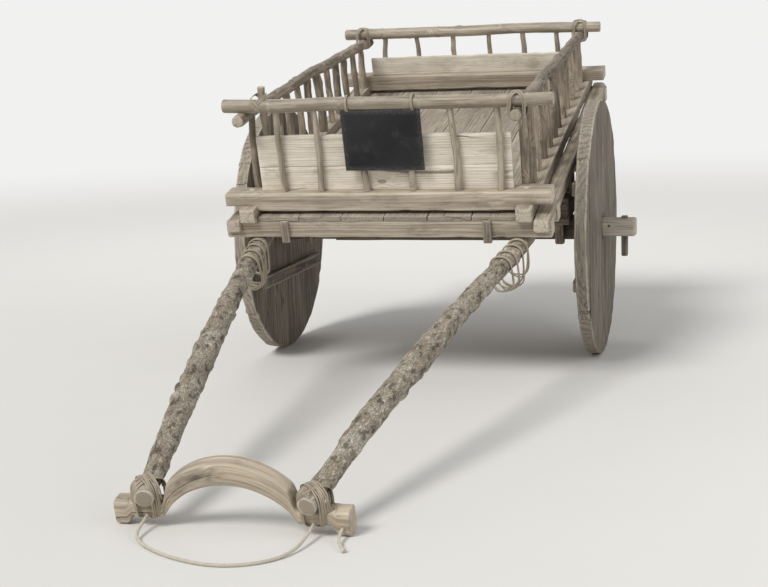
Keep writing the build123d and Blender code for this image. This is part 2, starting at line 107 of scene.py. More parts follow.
# Ways at each point of a line: ahead, sideways (square to the way across that is given) and up.
def waysAlong(line, across, closed=False):
    step = np.roll(line, -1, 0) - np.roll(line, 1, 0) if closed else np.gradient(line, axis=0)
    ahead = unit(step)
    side = unit(np.cross(ahead, across))
    return ahead, side, np.cross(side, ahead)


# Sections carried along a line: point = line + side a + up b.
def carried(line, side, up, a, b):
    return line[:, None] + side[:, None] * a[..., None] + up[:, None] * b[..., None]


# Values that run along rows, along columns or along neither, as one grid of points.
def grid(*parts):
    return np.stack(np.broadcast_arrays(*parts), -1)


# Three rows more at each end of a skin, to close it: the row each one copies, the share of its
# size, and 1 for these rows.
def closing(count, sizes):
    shrink, cut = np.ones((count + 6, 1)), np.zeros((count + 6, 1))
    shrink[:3, 0], shrink[-3:, 0] = sizes, sizes[::-1]
    cut[:3] = cut[-3:] = 1
    return np.pad(np.arange(count), 3, mode="edge"), shrink, cut


# Smooth noise from -1 to 1. Each corner of a lattice gets a fixed number from a hash of its
# place, and the eight round a point are mixed by 3t^2 - 2t^3 along each axis.
def fuzz(points, size, seed):
    place = points / np.array(size, float) + seed * 7.31
    cell = np.floor(place).astype(np.int64)
    share = place - cell
    share = share * share * (3 - 2 * share)
    total = np.zeros(points.shape[:-1])
    for corner in range(8):
        step = np.array([corner & 1, corner >> 1 & 1, corner >> 2 & 1])
        c = cell + step
        mixed = (c[..., 0] * 73856093) ^ (c[..., 1] * 19349663) ^ (c[..., 2] * 83492791)
        mixed = ((mixed ^ (mixed >> 13)) & 0x7FFFFFFF) * 1274126177
        value = ((mixed >> 11) & 0xFFFF) / 32767.5 - 1
        total += value * np.prod(np.where(step, share, 1 - share), axis=-1)
    return total


# The parts of that noise above a level, from 0 to 1.
def lumps(points, size, seed, level):
    return np.clip(fuzz(points, size, seed) - level, 0, 1)


# Links new data to the scene as an object.
def addObject(name, data):
    made = bpy.data.objects.new(name, data)
    bpy.context.scene.collection.objects.link(made)
    return made


# Stands an object at a place with its x, y and z axes along three ways.
def stand(made, place, *ways):
    made.matrix_world = Matrix.Translation(place) @ Matrix(np.stack(ways, 1).tolist()).to_4x4()


camera = {
    "place": (1.608, -5.901, 1.42),
    "yaw": 18.2,  # degrees
    "pitch": 7.65,
    "roll": -2.35,
    "width": 768,  # pixels across the picture
    "photoFocal": 900,
    "photoMiddle": (384, 293.5),
    "focal": 1450,
    "aim": (428, 318),  # the photograph's pixel in the middle of this picture
}


# The photograph's camera, turned to look at one of its pixels, with a longer lens.
def addCamera(look):
    yaw, pitch, roll = (math.radians(look[k]) for k in ("yaw", "pitch", "roll"))
    flat = np.array([math.cos(yaw), math.sin(yaw), 0])
    level = np.array([-math.sin(yaw), math.cos(yaw), 0])
    ahead = level * math.cos(pitch) - (0, 0, math.sin(pitch))
    upright = np.cross(flat, ahead)
    right = math.cos(roll) * flat + math.sin(roll) * upright
    up = math.cos(roll) * upright - math.sin(roll) * flat
    dx, dy = np.subtract(look["aim"], look["photoMiddle"])
    aimed = unit(look["photoFocal"] * ahead + dx * right - dy * up)
    right = unit(right - (right @ aimed) * aimed)
    lens = bpy.data.cameras.new("camera")
    lens.lens = look["focal"] / look["width"] * lens.sensor_width
    holder = addObject("camera", lens)
    stand(holder, look["place"], right, np.cross(right, aimed), -aimed)
    bpy.context.scene.camera = holder


addCamera(camera)
print("camera placed")


# A grid of points as one closed skin. Columns go round; a pole, the mean of the end row, closes
# each end, or with wrap the last row joins the first. If the volume, the sum of
# a . (b x c) / 6 over its triangles, is negative, the faces are turned round. Cut is 1 where a
# face lies across the grain.
def shell(points, grain, wear=0.0, tone=0.5, wrap=False, cut=0.0):
    rows, columns = points.shape[:2]
    row = np.arange(rows if wrap else rows - 1)[:, None]
    ring = np.arange(columns)
    onward, below = (ring + 1) % columns, (row + 1) % rows * columns
    row = row * columns
    quads = np.stack([row + ring, row + onward, below + onward, below + ring], -1).reshape(-1, 4)
    flat, fibres = points.reshape(-1, 3), grain.reshape(-1, 3)
    marked = {
        word: np.broadcast_to(values, points.shape[:2]).reshape(-1)
        for word, values in (("wear", wear), ("tone", tone), ("cut", cut))
    }
    triangles = np.zeros((0, 3), int)
    if not wrap:
        last, pole = (rows - 1) * columns, np.full(columns, len(flat))
        first = np.stack([pole, onward, ring], -1)
        final = np.stack([last + ring, last + onward, pole + 1], -1)
        triangles = np.vstack([first, final])
        flat = np.vstack([flat, points[0].mean(0), points[-1].mean(0)])
        fibres = np.vstack([fibres, grain[0].mean(0), grain[-1].mean(0)])
        marked = {k: np.append(values, values[[0, -1]]) for k, values in marked.items()}
    corners = np.vstack([quads[:, [0, 1, 2]], quads[:, [0, 2, 3]], triangles])
    a, b, c = (flat - flat.mean(0))[corners.T]
    if (a * np.cross(b, c)).sum() < 0:
        quads, triangles = quads[:, ::-1], triangles[:, ::-1]
    return {"points": flat, "quads": quads, "triangles": triangles, "grain": fibres, **marked}


# Puts shells into one mesh at the origin and hands it to its body. The piece stands for the
# nodes given, and takes the first one's name unless it has its own.
def addPiece(replaced, shells, material, slotName, body="cart", name=None):
    replaced = [replaced] if isinstance(replaced, str) else replaced
    title = replaced[0].title().replace("_", "")
    name = name or title[0].lower() + title[1:]
    starts = np.cumsum([0] + [len(s["points"]) for s in shells])
    points = parked(np.vstack([s["points"] for s in shells]), body)
    quads, triangles = (
        np.vstack([s[kind] + at for s, at in zip(shells, starts)]).tolist()
        for kind in ("quads", "triangles")
    )
    mesh = bpy.data.meshes.new(name)
    mesh.from_pydata(points.tolist(), [], quads + triangles)
    mesh.polygons.foreach_set("use_smooth", np.ones(len(mesh.polygons), bool))
    for word in ("grain", "wear", "tone", "cut"):
        kind, field = ("FLOAT_VECTOR", "vector") if word == "grain" else ("FLOAT", "value")
        made = mesh.attributes.new(word, kind, "POINT")
        made.data.foreach_set(field, np.concatenate([s[word] for s in shells]).ravel())
    mesh.update()
    mesh.materials.append(material)
    piece = addObject(name, mesh)
    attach(piece, body)
    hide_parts(*replaced)
    print("piece", name, 2 * len(quads) + len(triangles), "triangles")
    return piece


# Corners of each solid of a node, on the level cart. Every triangle passes its lowest label to
# its corners until nothing changes.
def cadSolids(node, body="cart"):
    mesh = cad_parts[node].data
    mesh.calc_loop_triangles()
    corners = np.zeros(len(mesh.vertices) * 3)
    mesh.vertices.foreach_get("co", corners)
    ends = np.zeros(len(mesh.loop_triangles) * 3, np.int32)
    mesh.loop_triangles.foreach_get("vertices", ends)
    unique, index = np.unique(np.round(corners.reshape(-1, 3), 5), axis=0, return_inverse=True)
    ends = index.reshape(-1)[ends].reshape(-1, 3)
    label = np.arange(len(unique))
    while True:
        spread = label.copy()
        np.minimum.at(spread, ends, label[ends].min(1)[:, None])
        if (spread == label).all():
            break
        label = spread
    level = levelled(unique, body)
    return [level[label == k] for k in np.unique(label)]


# Lowest and highest corner of each solid of a node.
def cadBoxes(node, body="cart"):
    return [(s.min(0), s.max(0)) for s in cadSolids(node, body)]


# Shader maths. A wire is one output socket; its operators add Math nodes.
class Wire:
    def __init__(self, tree, socket=None):
        self.tree, self.socket = tree, socket

    # Adds a node: its inputs' values or links, the output that is meant, and its settings.
    def node(self, kind, inputs=(), output=0, **settings):
        made = self.tree.nodes.new("ShaderNode" + kind)
        for key, value in settings.items():
            setattr(made, key, value)
        for key, value in dict(inputs).items():
            if isinstance(value, Wire):
                self.tree.links.new(value.socket, made.inputs[key])
            else:
                made.inputs[key].default_value = value
        return Wire(self.tree, made.outputs[output])

    # Another output of the same node
    def output(self, number):
        return Wire(self.tree, self.socket.node.outputs[number])

    # One of the mesh's own attributes
    def mark(self, word):
        return self.node("Attribute", output=1 if word == "grain" else 2, attribute_name=word)

    # A Math node on the parts given
    def maths(self, operation, *parts):
        return self.node("Math", enumerate(parts), operation=operation)

    def __add__(self, other):
        return self.maths("ADD", self, other)

    def __sub__(self, other):
        return self.maths("SUBTRACT", self, other)

    def __rsub__(self, other):
        return self.maths("SUBTRACT", other, self)

    def __mul__(self, other):
        return self.maths("MULTIPLY", self, other)

    __radd__, __rmul__ = __add__, __mul__

    # Kept from 0 to 1
    def held(self):
        return self.node("Clamp", {"Value": self})

    def sine(self):
        return self.maths("SINE", self)

    # Without its sign
    def size(self):
        return self.maths("ABSOLUTE", self)

    # 0 below low and 1 above high, with a soft step between
    def step(self, low, high):
        return self.node(
            "MapRange", {0: self, 1: low, 2: high}, interpolation_type="SMOOTHSTEP"
        )

    # Colour from first to second as this value goes from 0 to 1
    def blend(self, first, second):
        first, second = (c if isinstance(c, Wire) else (*c, 1) for c in (first, second))
        return self.node("Mix", {0: self, 6: first, 7: second}, 2, data_type="RGBA")

    # Vectors: each axis times a number, moved by another, and the length
    def stretched(self, scale):
        return self.node("VectorMath", {0: self, 1: scale}, operation="MULTIPLY")

    def moved(self, way):
        return self.node("VectorMath", {0: self, 1: way}, operation="ADD")

    def length(self):
        return self.node("VectorMath", {0: self}, 1, operation="LENGTH")

    # Noise from 0 to 1, with so many waves to the metre along each axis
    def noise(self, scale, detail=2.0, roughness=0.5):
        place = self.stretched(scale)
        inputs = {"Vector": place, "Scale": 1.0, "Detail": detail, "Roughness": roughness}
        return self.node("TexNoise", inputs)

    # Noises on this place, with their numbers from a look
    def noises(self, look, *words):
        return [self.noise(*look[word]) for word in words]


# A material with its Principled shader, and a wire to start from.
def newMaterial(name):
    material = bpy.data.materials.new(name)
    material.use_nodes = True
    tree = material.node_tree
    return material, tree.nodes["Principled BSDF"], Wire(tree)


# Colour, roughness and height go to the shader, and the gloss is set on its socket.
def finishMaterial(shader, colour, roughness, height, depth, strength, gloss):
    bump = colour.node("Bump", {"Height": height, "Distance": depth, "Strength": strength})
    for key, wire in (("Base Color", colour), ("Roughness", roughness.held()), ("Normal", bump)):
        colour.tree.links.new(wire.socket, shader.inputs[key])
    shader.inputs["Specular IOR Level"].default_value = gloss


# Wood as a solid: rings are waves of the distance from the pith, fibres are noise drawn out
# along the grain, and cracks are where a noise drawn out along the grain and into the wood
# crosses its middle; the cracks are painted near-black, as painted shade inside them. Faces
# across the grain have colours of their own and show the rings, with drying cracks where the
# sine of a slope across them, bent by noise, crosses nought, and these are darkened as painted
# shade too. The slope is 3/2 of the arctangent of the place across by a reach, so it is far
# slower than the noise.
def woodMaterial(name, look):
    material, shader, start = newMaterial(name)
    grain, wear, tone, cut = (start.mark(word) for word in ("grain", "wear", "tone", "cut"))
    reach = start.node("TexVoronoi", {"Vector": grain.stretched(look["knotCells"]), "Scale": 1.0})
    chance = start.node("SeparateColor", {0: reach.output(1)})
    some = chance.step(look["knotChance"], look["knotChance"] + 0.02)
    knot = (1 - reach.step(0.06, 0.1)) * some
    bulge = (1 - reach.step(0.0, 0.4)) * some
    wander, split, gate, blotch, grime = grain.noises(
        look, "wander", "split", "gate", "blotch", "grime"
    )
    across = grain.stretched((1, 1, 0)).length()
    swirl = across + wander * look["warp"] + bulge * 0.02
    rings = (swirl * (6.2832 / look["ring"])).sine() * 0.5 + 0.5
    aside = bulge * look["knotBend"]
    along = grain.moved(start.node("CombineXYZ", {0: aside, 1: aside}))
    fibre, streak, broad = along.noises(look, "fibre", "streak", "broad")
    crack = 1 - (split - 0.5).size().step(0.0, look["crackWidth"])
    crack = crack * gate.step(0.5, 0.6)
    colour = (streak * 0.45 + broad * 0.42 + rings * 0.13).step(0.33, 0.66)
    colour = colour.blend(look["dark"], look["pale"])
    colour = (blotch.step(0.42, 0.66) * look["stainAmount"]).blend(colour, look["stain"])
    colour = (grime.step(0.52, 0.72) * look["grimeAmount"]).blend(colour, look["deep"])
    whorl = (reach * look["whorls"]).sine() * 0.2 + 0.6
    colour = (knot * whorl).held().blend(colour, look["deep"])
    ends = (rings * 0.3 + fibre * 0.5 + streak * 0.4).step(0.3, 0.95)
    ends = ends.blend(look["endDark"], look["endPale"])
    place = start.node("SeparateXYZ", {0: grain}, 1)
    slope = start.maths("ARCTAN2", place, look["dryReach"]) * 1.5
    # Painted shade: the drying cracks on the ends are darkened towards the deep colour
    dried = 1 - (slope + wander * 9 + split * 2).sine().size().step(0.02, 0.07)
    ends = (dried * across.step(0.004, 0.014) * 0.8).blend(ends, look["deep"])
    colour = cut.blend(colour, ends)
    colour = ((wear * (fibre + 0.35)).held() * look["wornAmount"]).blend(colour, look["worn"])
    colour = ((1 - fibre.step(0.32, 0.52)) * look["poreAmount"]).blend(colour, look["deep"])
    # Painted shade: the cracks are darkened towards the deep colour
    colour = (crack * look["crackShade"]).held().blend(colour, look["deep"])
    shade = 1 + (tone - 0.5) * look["toneSpread"]
    shaded = {0: 1.0, 6: colour, 7: start.node("CombineColor", {0: shade, 1: shade, 2: shade})}
    colour = start.node("Mix", shaded, 2, data_type="RGBA", blend_type="MULTIPLY")
    rough = look["roughness"] + (fibre - 0.5) * 0.3
    height = fibre * 0.5 + rings * look["ringDepth"] + streak * look["streakDepth"] - crack * 1.5
    finishMaterial(shader, colour, rough, height, look["depth"], look["bump"], look["gloss"])
    return material


woodBasis = {
    "ring": 0.009,  # metres from one ring to the next
    "warp": 0.03,
    "knotCells": (9, 9, 4),  # to the metre; each may hold a knot
    "knotChance": 0.6,  # share of the cells without one
    "knotBend": 0.013,  # metres it pushes the grain aside
    "whorls": 260,
    # Noises: waves to the metre, twice across the grain and along it, detail and roughness
    "wander": ((8, 8, 0.9),),
    "broad": ((19, 19, 0.9), 4.0, 0.6),
    "streak": ((85, 85, 1.9), 4.0, 0.65),
    "fibre": ((270, 270, 6), 3.0, 0.65),
    "blotch": ((5, 5, 3), 4.0, 0.65),
    "grime": ((17, 17, 8), 4.0, 0.7),
    "split": ((38, 5, 0.55), 1.0, 0.4),
    "gate": ((9, 3, 2.4), 1.0),  # for the places that have cracks
    "crackWidth": 0.007,
    # How much painted shade darkens the cracks
    "crackShade": 0.85,
    "dryReach": 0.5,  # metres
    "stainAmount": 0.45,
    "grimeAmount": 0.35,
    "wornAmount": 0.5,
    "poreAmount": 0.45,
    "toneSpread": 0.4,
    "ringDepth": 0.12,
    "streakDepth": 0.25,
    "depth": 0.0018,
    "bump": 0.75,
    "roughness": 0.78,
    "gloss": 0.3,
}
# How each wood differs from woodBasis: its colours along the grain and on its ends, and more
woodLooks = {
    "beamWood": {
        "pale": (0.5, 0.43, 0.34), "dark": (0.27, 0.222, 0.165), "stain": (0.2, 0.175, 0.145),
        "worn": (0.6, 0.535, 0.44), "deep": (0.055, 0.043, 0.032),
        "endPale": (0.66, 0.595, 0.495), "endDark": (0.4, 0.345, 0.27),
    },
    # The floor's end colours are dark end grain with painted shade on it, for the plank ends that
    # sit in shade between the beams
    "floorWood": {
        "pale": (0.44, 0.385, 0.31), "dark": (0.24, 0.2, 0.155), "stain": (0.17, 0.15, 0.125),
        "worn": (0.52, 0.47, 0.39), "deep": (0.05, 0.04, 0.03),
        "endPale": (0.36, 0.312, 0.25), "endDark": (0.135, 0.113, 0.088),
    },
    "boardWood": {
        "pale": (0.77, 0.71, 0.61), "dark": (0.53, 0.47, 0.385), "stain": (0.4, 0.36, 0.305),
        "worn": (0.8, 0.75, 0.66), "deep": (0.13, 0.105, 0.08),
        "endPale": (0.55, 0.49, 0.4), "endDark": (0.28, 0.235, 0.18),
        "poreAmount": 0.3, "streakDepth": 0.1,
    },
    "wheelWood": {
        "pale": (0.33, 0.282, 0.225), "dark": (0.105, 0.087, 0.067), "stain": (0.08, 0.067, 0.053),
        "worn": (0.6, 0.545, 0.46), "deep": (0.022, 0.018, 0.014),
        "endPale": (0.36, 0.31, 0.25), "endDark": (0.125, 0.102, 0.078),
        "wornAmount": 0.75, "crackShade": 1.0, "crackWidth": 0.01, "ring": 0.021, "warp": 0.09,
        "ringDepth": 0.04, "toneSpread": 0.7, "depth": 0.003, "bump": 0.9,
    },
    "darkWood": {
        "pale": (0.31, 0.26, 0.205), "dark": (0.13, 0.106, 0.082), "stain": (0.08, 0.066, 0.052),
        "worn": (0.45, 0.395, 0.32), "deep": (0.022, 0.018, 0.014),
        "endPale": (0.29, 0.245, 0.19), "endDark": (0.1, 0.082, 0.063),
    },
    "axleWood": {
        "pale": (0.27, 0.225, 0.175), "dark": (0.11, 0.09, 0.07), "stain": (0.08, 0.066, 0.052),
        "worn": (0.64, 0.58, 0.49), "deep": (0.02, 0.016, 0.012),
        "endPale": (0.6, 0.53, 0.43), "endDark": (0.3, 0.25, 0.19),
        "wornAmount": 0.95,
    },
    "stickWood": {
        "pale": (0.44, 0.37, 0.29), "dark": (0.17, 0.137, 0.103), "stain": (0.11, 0.09, 0.07),
        "worn": (0.52, 0.46, 0.38), "deep": (0.035, 0.028, 0.022),
        "endPale": (0.62, 0.55, 0.45), "endDark": (0.32, 0.27, 0.2),
        "ring": 0.004, "toneSpread": 0.9, "depth": 0.003,
    },
    "poleWood": {
        "pale": (0.48, 0.415, 0.325), "dark": (0.24, 0.198, 0.148), "stain": (0.14, 0.115, 0.088),
        "worn": (0.58, 0.52, 0.43), "deep": (0.05, 0.04, 0.03),
        "endPale": (0.58, 0.51, 0.41), "endDark": (0.26, 0.215, 0.16),
        "ring": 0.004, "roughness": 0.52, "gloss": 0.5, "bump": 0.5, "crackShade": 0.7,
    },
    "yokeWood": {
        "pale": (0.57, 0.485, 0.37), "dark": (0.33, 0.27, 0.195), "stain": (0.22, 0.185, 0.14),
        "worn": (0.66, 0.59, 0.48), "deep": (0.07, 0.055, 0.04),
        "endPale": (0.56, 0.48, 0.37), "endDark": (0.26, 0.21, 0.15),
        "roughness": 0.55, "gloss": 0.45,
    },
}
wood = {name: woodMaterial(name, {**woodBasis, **look}) for name, look in woodLooks.items()}

barkLook = {
    "pale": (0.56, 0.495, 0.4),
    "dark": (0.27, 0.225, 0.17),
    # painted shade for the bark's cracks and hollows
    "pit": (0.06, 0.049, 0.037),
    "lichen": (0.68, 0.63, 0.54),
    "plates": (88, 88, 24),  # plates to the metre, across and along
    "bend": (3.2, 3.2, 2.2),  # how far noise bends their edges, in plates
    "bendWaves": 60.0,
    # Noises: waves to the metre, twice across the log and along it, detail and roughness
    "mottle": ((30, 30, 17), 5.0, 0.7),
    "fine": ((260, 260, 120), 3.0, 0.65),
    "spots": ((13, 13, 8), 5.0, 0.7),
    "endPale": (0.46, 0.4, 0.32),
    "endDark": (0.2, 0.165, 0.125),
    "rim": (0.58, 0.52, 0.43),
    "rimFrom": 0.0235,  # metres from the middle of a sawn end
    "endRings": 1500,  # radians of rings to the metre
    "depth": 0.008,
}


# Bark: plates are the cells of a bent Voronoi pattern with dark lines between them, and pale
# lichen grows in blotches. The dark lines, and the pits wherever the bump is low, are painted
# shade. The sawn ends are ringed wood inside a pale rim.
def barkMaterial(name, look):
    material, shader, start = newMaterial(name)
    grain, cut = start.mark("grain"), start.mark("cut")
    inputs = {"Vector": grain, "Scale": look["bendWaves"], "Detail": 3.0}
    bend = start.node("TexNoise", inputs, 1)
    bent = grain.stretched(look["plates"]).moved(bend.stretched(look["bend"]))
    inputs = {"Vector": bent, "Scale": 1.0}
    plate = start.node("TexVoronoi", inputs, feature="DISTANCE_TO_EDGE").step(0.02, 0.22)
    mottle, fine, lichen = grain.noises(look, "mottle", "fine", "spots")
    colour = (mottle * 0.8 + fine * 0.35).step(0.43, 0.72).blend(look["dark"], look["pale"])
    colour = (lichen.step(0.5, 0.62) * 0.75).blend(colour, look["lichen"])
    # Painted shade: the pit colour darkens the cracks between plates and the places where the
    # mottle and fine noises, which also raise the bump, are low
    colour = ((1 - plate) * mottle.step(0.3, 0.6) * 0.5).blend(colour, look["pit"])
    colour = ((1 - mottle.step(0.37, 0.49)) * 0.75).blend(colour, look["pit"])
    colour = ((1 - fine.step(0.34, 0.5)) * 0.4).blend(colour, look["pit"])
    across = grain.stretched((1, 1, 0)).length()
    rings = (across * look["endRings"] + mottle * 3).sine() * 0.5 + 0.5
    ends = (rings * 0.5 + fine * 0.5).blend(look["endDark"], look["endPale"])
    rim = (across + (mottle - 0.5) * 0.016).step(look["rimFrom"], look["rimFrom"] + 0.006)
    colour = cut.blend(colour, rim.blend(ends, look["rim"]))
    height = (plate * 0.3 + mottle * 0.9 + fine * 0.35) * (1 - cut) + rings * cut * 0.1
    finishMaterial(shader, colour, 0.8 + (fine - 0.5) * 0.3, height, look["depth"], 0.9, 0.25)
    return material


bark = barkMaterial("bark", barkLook)


# Cane and rope: fine lines along the strand, with darker gaps between them and soil in blotches.
def strandMaterial(name, look):
    material, shader, start = newMaterial(name)
    grain, tone = start.mark("grain"), start.mark("tone")
    line, soil = grain.noises(look, "line", "blotch")
    colour = line.step(0.3, 0.7).blend(look["dark"], look["pale"])
    colour = (soil.step(0.45, 0.7) * look["soilAmount"]).blend(colour, look["soil"])
    colour = ((tone - 0.5) * 0.5 + 0.25).held().blend(colour, look["dark"])
    rough = look["roughness"] + (line - 0.5) * 0.25
    finishMaterial(shader, colour, rough, line, look["depth"], 0.8, look["gloss"])
    return material


caneLook = {
    "pale": (0.5, 0.44, 0.34),
    "dark": (0.27, 0.22, 0.155),
    "soil": (0.14, 0.12, 0.095),
    "soilAmount": 0.5,
    "blotch": ((14, 14, 9), 3.0, 0.6),
    "line": ((700, 700, 9), 3.0, 0.6),
    "roughness": 0.5,
    "gloss": 0.5,
    "depth": 0.0006,
}
ropeLook = {
    "pale": (0.74, 0.7, 0.61),
    "dark": (0.46, 0.42, 0.34),
    "soil": (0.34, 0.31, 0.26),
    "soilAmount": 0.35,
    "blotch": ((14, 14, 9), 3.0, 0.6),
    "line": ((1300, 1300, 60), 3.0, 0.6),
    "roughness": 0.85,
    "gloss": 0.2,
    "depth": 0.0008,
}
cane = strandMaterial("cane", caneLook)
ropeFibre = strandMaterial("ropeFibre", ropeLook)

labelLook = {
    "paint": (0.012, 0.012, 0.014),
    "dust": (0.11, 0.105, 0.1),
    "rubbed": (0.2, 0.18, 0.15),
    "brush": ((420, 420, 5),),
    "specks": ((16, 16, 16), 4.0, 0.7),
    "rubs": ((300, 300, 300),),
}


# Black gloss paint on a board: brush lines, dust and a few rubbed spots.
def labelMaterial(name, look):
    material, shader, start = newMaterial(name)
    grain, wear = start.mark("grain"), start.mark("wear")
    brush, dust, fine = grain.noises(look, "brush", "specks", "rubs")
    colour = (dust.step(0.5, 0.85) * 0.18).blend(look["paint"], look["dust"])
    colour = (wear * fine.step(0.5, 0.62) * 0.7).held().blend(colour, look["rubbed"])
    rough = 0.14 + dust.step(0.4, 0.8) * 0.14 + wear * 0.25
    finishMaterial(shader, colour, rough, brush + dust * 0.5, 0.0003, 0.3, 0.4)
    return material


blackGloss = labelMaterial("blackGloss", labelLook)
print("materials made")

rope = {
    "diameter": 0.011,
    "strandShare": 0.275,  # radius of a strand by the rope's diameter
    "layLength": 0.034,  # along the rope for one turn of a strand
    "stepLength": 0.002,
    "marks": 10,
    "throatLength": 0.92,
    "tailLength": 0.13,
    "knotRadius": 0.009,
    "knotTube": 0.42,  # share of the knot's radius
    "knotSink": 0.6,
}
throatRoute = [
    (0.27, -1.93097, 0.04174), (0.27, -2.03775, 0.01533), (0.238, -2.14, 0.006),
    (0.16, -2.212, 0.006), (0.058, -2.236, 0.006), (-0.046, -2.208, 0.006),
    (-0.14, -2.16, 0.006), (-0.222, -2.095, 0.006), (-0.27, -2.03775, 0.01533),
    (-0.27, -1.93097, 0.04174),
]
tailRoute = [
    (0.358, -1.92785, 0.02912), (0.358, -1.97153, 0.01832), (0.374, -2.016, 0.011),
    (0.394, -2.048, 0.0093),
]


# Points of the open NURBS spline of order 3 with the route's points as its control points.
def splineLine(route):
    curve = bpy.data.curves.new("route", "CURVE")
    curve.dimensions, curve.resolution_u = "3D", 24
    spline = curve.splines.new("NURBS")
    spline.points.add(len(route) - 1)
    spline.points.foreach_set("co", np.column_stack([route, np.ones(len(route))]).ravel())
    spline.order_u = 3
    spline.use_endpoint_u = True
    holder = addObject("route", curve)
    mesh = bpy.data.meshes.new_from_object(holder)
    line = np.zeros(len(mesh.vertices) * 3)
    mesh.vertices.foreach_get("co", line)
    bpy.data.objects.remove(holder)
    bpy.data.meshes.remove(mesh)
    return line.reshape(-1, 3)


# Three strands laid round the line: strand k is at angle 2 pi (s / lay + k / 3), pressed a
# little into the others, and each is a round tube about its own helix.
def laidRope(line, look):
    strand = look["diameter"] * look["strandShare"]
    side, up = waysAlong(line, (0, 0, 1))[1:]
    gone = goneAlong(line)[:, None]
    cosine, sine = circle(look["marks"])
    shells = []
    for k in range(3):
        angle = 2 * math.pi * (gone / look["layLength"] + k / 3)
        outward = side * np.cos(angle) + up * np.sin(angle)
        centre = line + (look["diameter"] / 2 - strand) * outward
        sideways = waysAlong(centre, outward)[1]
        thick = strand * (1 + 0.06 * fuzz(centre, 0.004, k))[:, None]
        points = carried(centre, outward, sideways, thick * cosine, thick * sine)
        grain = grid(strand * cosine + k, strand * sine, gone)
        shells.append(shell(levelled(points), grain, 0, 0.45 + 0.1 * k))
    return shells


# A knot pulled tight: a tube about the trefoil (sin t + 2 sin 2t, cos t - 2 cos 2t,
# -1.6 sin 3t), shrunk to the knot's radius.
def trefoil(centre, radius, thick):
    t = np.linspace(0, 2 * math.pi, 90, endpoint=False)
    line = grid(np.sin(t) + 2 * np.sin(2 * t), np.cos(t) - 2 * np.cos(2 * t), -1.6 * np.sin(3 * t))
    line = line * (radius - thick) / 3
    ways = waysAlong(line, unit(line + (0, 0, 1e-5)), closed=True)[1:]
    a, b = (thick * part for part in circle(10))
    points = carried(line, *ways, a, b) + centre
    return shell(levelled(points), grid(a, b, 0.012 * t[:, None]), 0, 0.4, wrap=True)


throatLine, tailLine = (
    evenly(splineLine(route), rope["stepLength"]) for route in (throatRoute, tailRoute)
)
throatRope = addPiece("throat_rope", laidRope(throatLine, rope), ropeFibre, "rope")
tailRope = addPiece("rope_tail", laidRope(tailLine, rope), ropeFibre, "rope", name="tailRope")
knotWay = unit(tailLine[-1] - tailLine[-2])
knotCentre = tailLine[-1] + knotWay * rope["knotSink"] * rope["knotRadius"]
knotCentre[2] = rope["knotRadius"]
knot = trefoil(knotCentre, rope["knotRadius"], rope["knotTube"] * rope["knotRadius"])
tailKnot = addPiece("rope_knot", [knot], ropeFibre, "rope", name="tailKnot")
print("ropes laid")


# Marks round a rounded rectangle: for each the corner circle it belongs to, as shares of the
# half sizes, its way outwards, and 1 on a corner, 0 on a side.
def sectionMarks(side, corner=4):
    ways = ((1, -1), (1, 1), (-1, 1), (-1, -1))
    anchors, outward, onCorner = [], [], []
    for k, way in enumerate(ways):
        angle = np.radians(-90 + 90 * k + 90 * np.arange(corner + 1) / corner)
        arc = np.stack([np.cos(angle), np.sin(angle)], -1)
        share = (np.arange(1, side) / side)[:, None]
        anchors += [np.repeat([way], corner + 1, 0), way + share * np.subtract(ways[k - 3], way)]
        outward += [arc, np.repeat(arc[-1:], side - 1, 0)]
        onCorner += [np.ones(corner + 1), np.zeros(side - 1)]
    return np.vstack(anchors), np.vstack(outward), np.concatenate(onCorner)


grainShift = 3.7  # metres of grain between a piece and the one with the next seed
timberBasis = {
    "soft": 0.006,  # radius of the worn corners
    "rough": 0.0012,  # how far the faces wander
    "chips": 0.006,  # depth of the pieces gone from the corners
    "stepLength": 0.02,
    "side": 6,
    "spread": 0.12,  # how far off the pith may be
    "tone": 0.5,
}


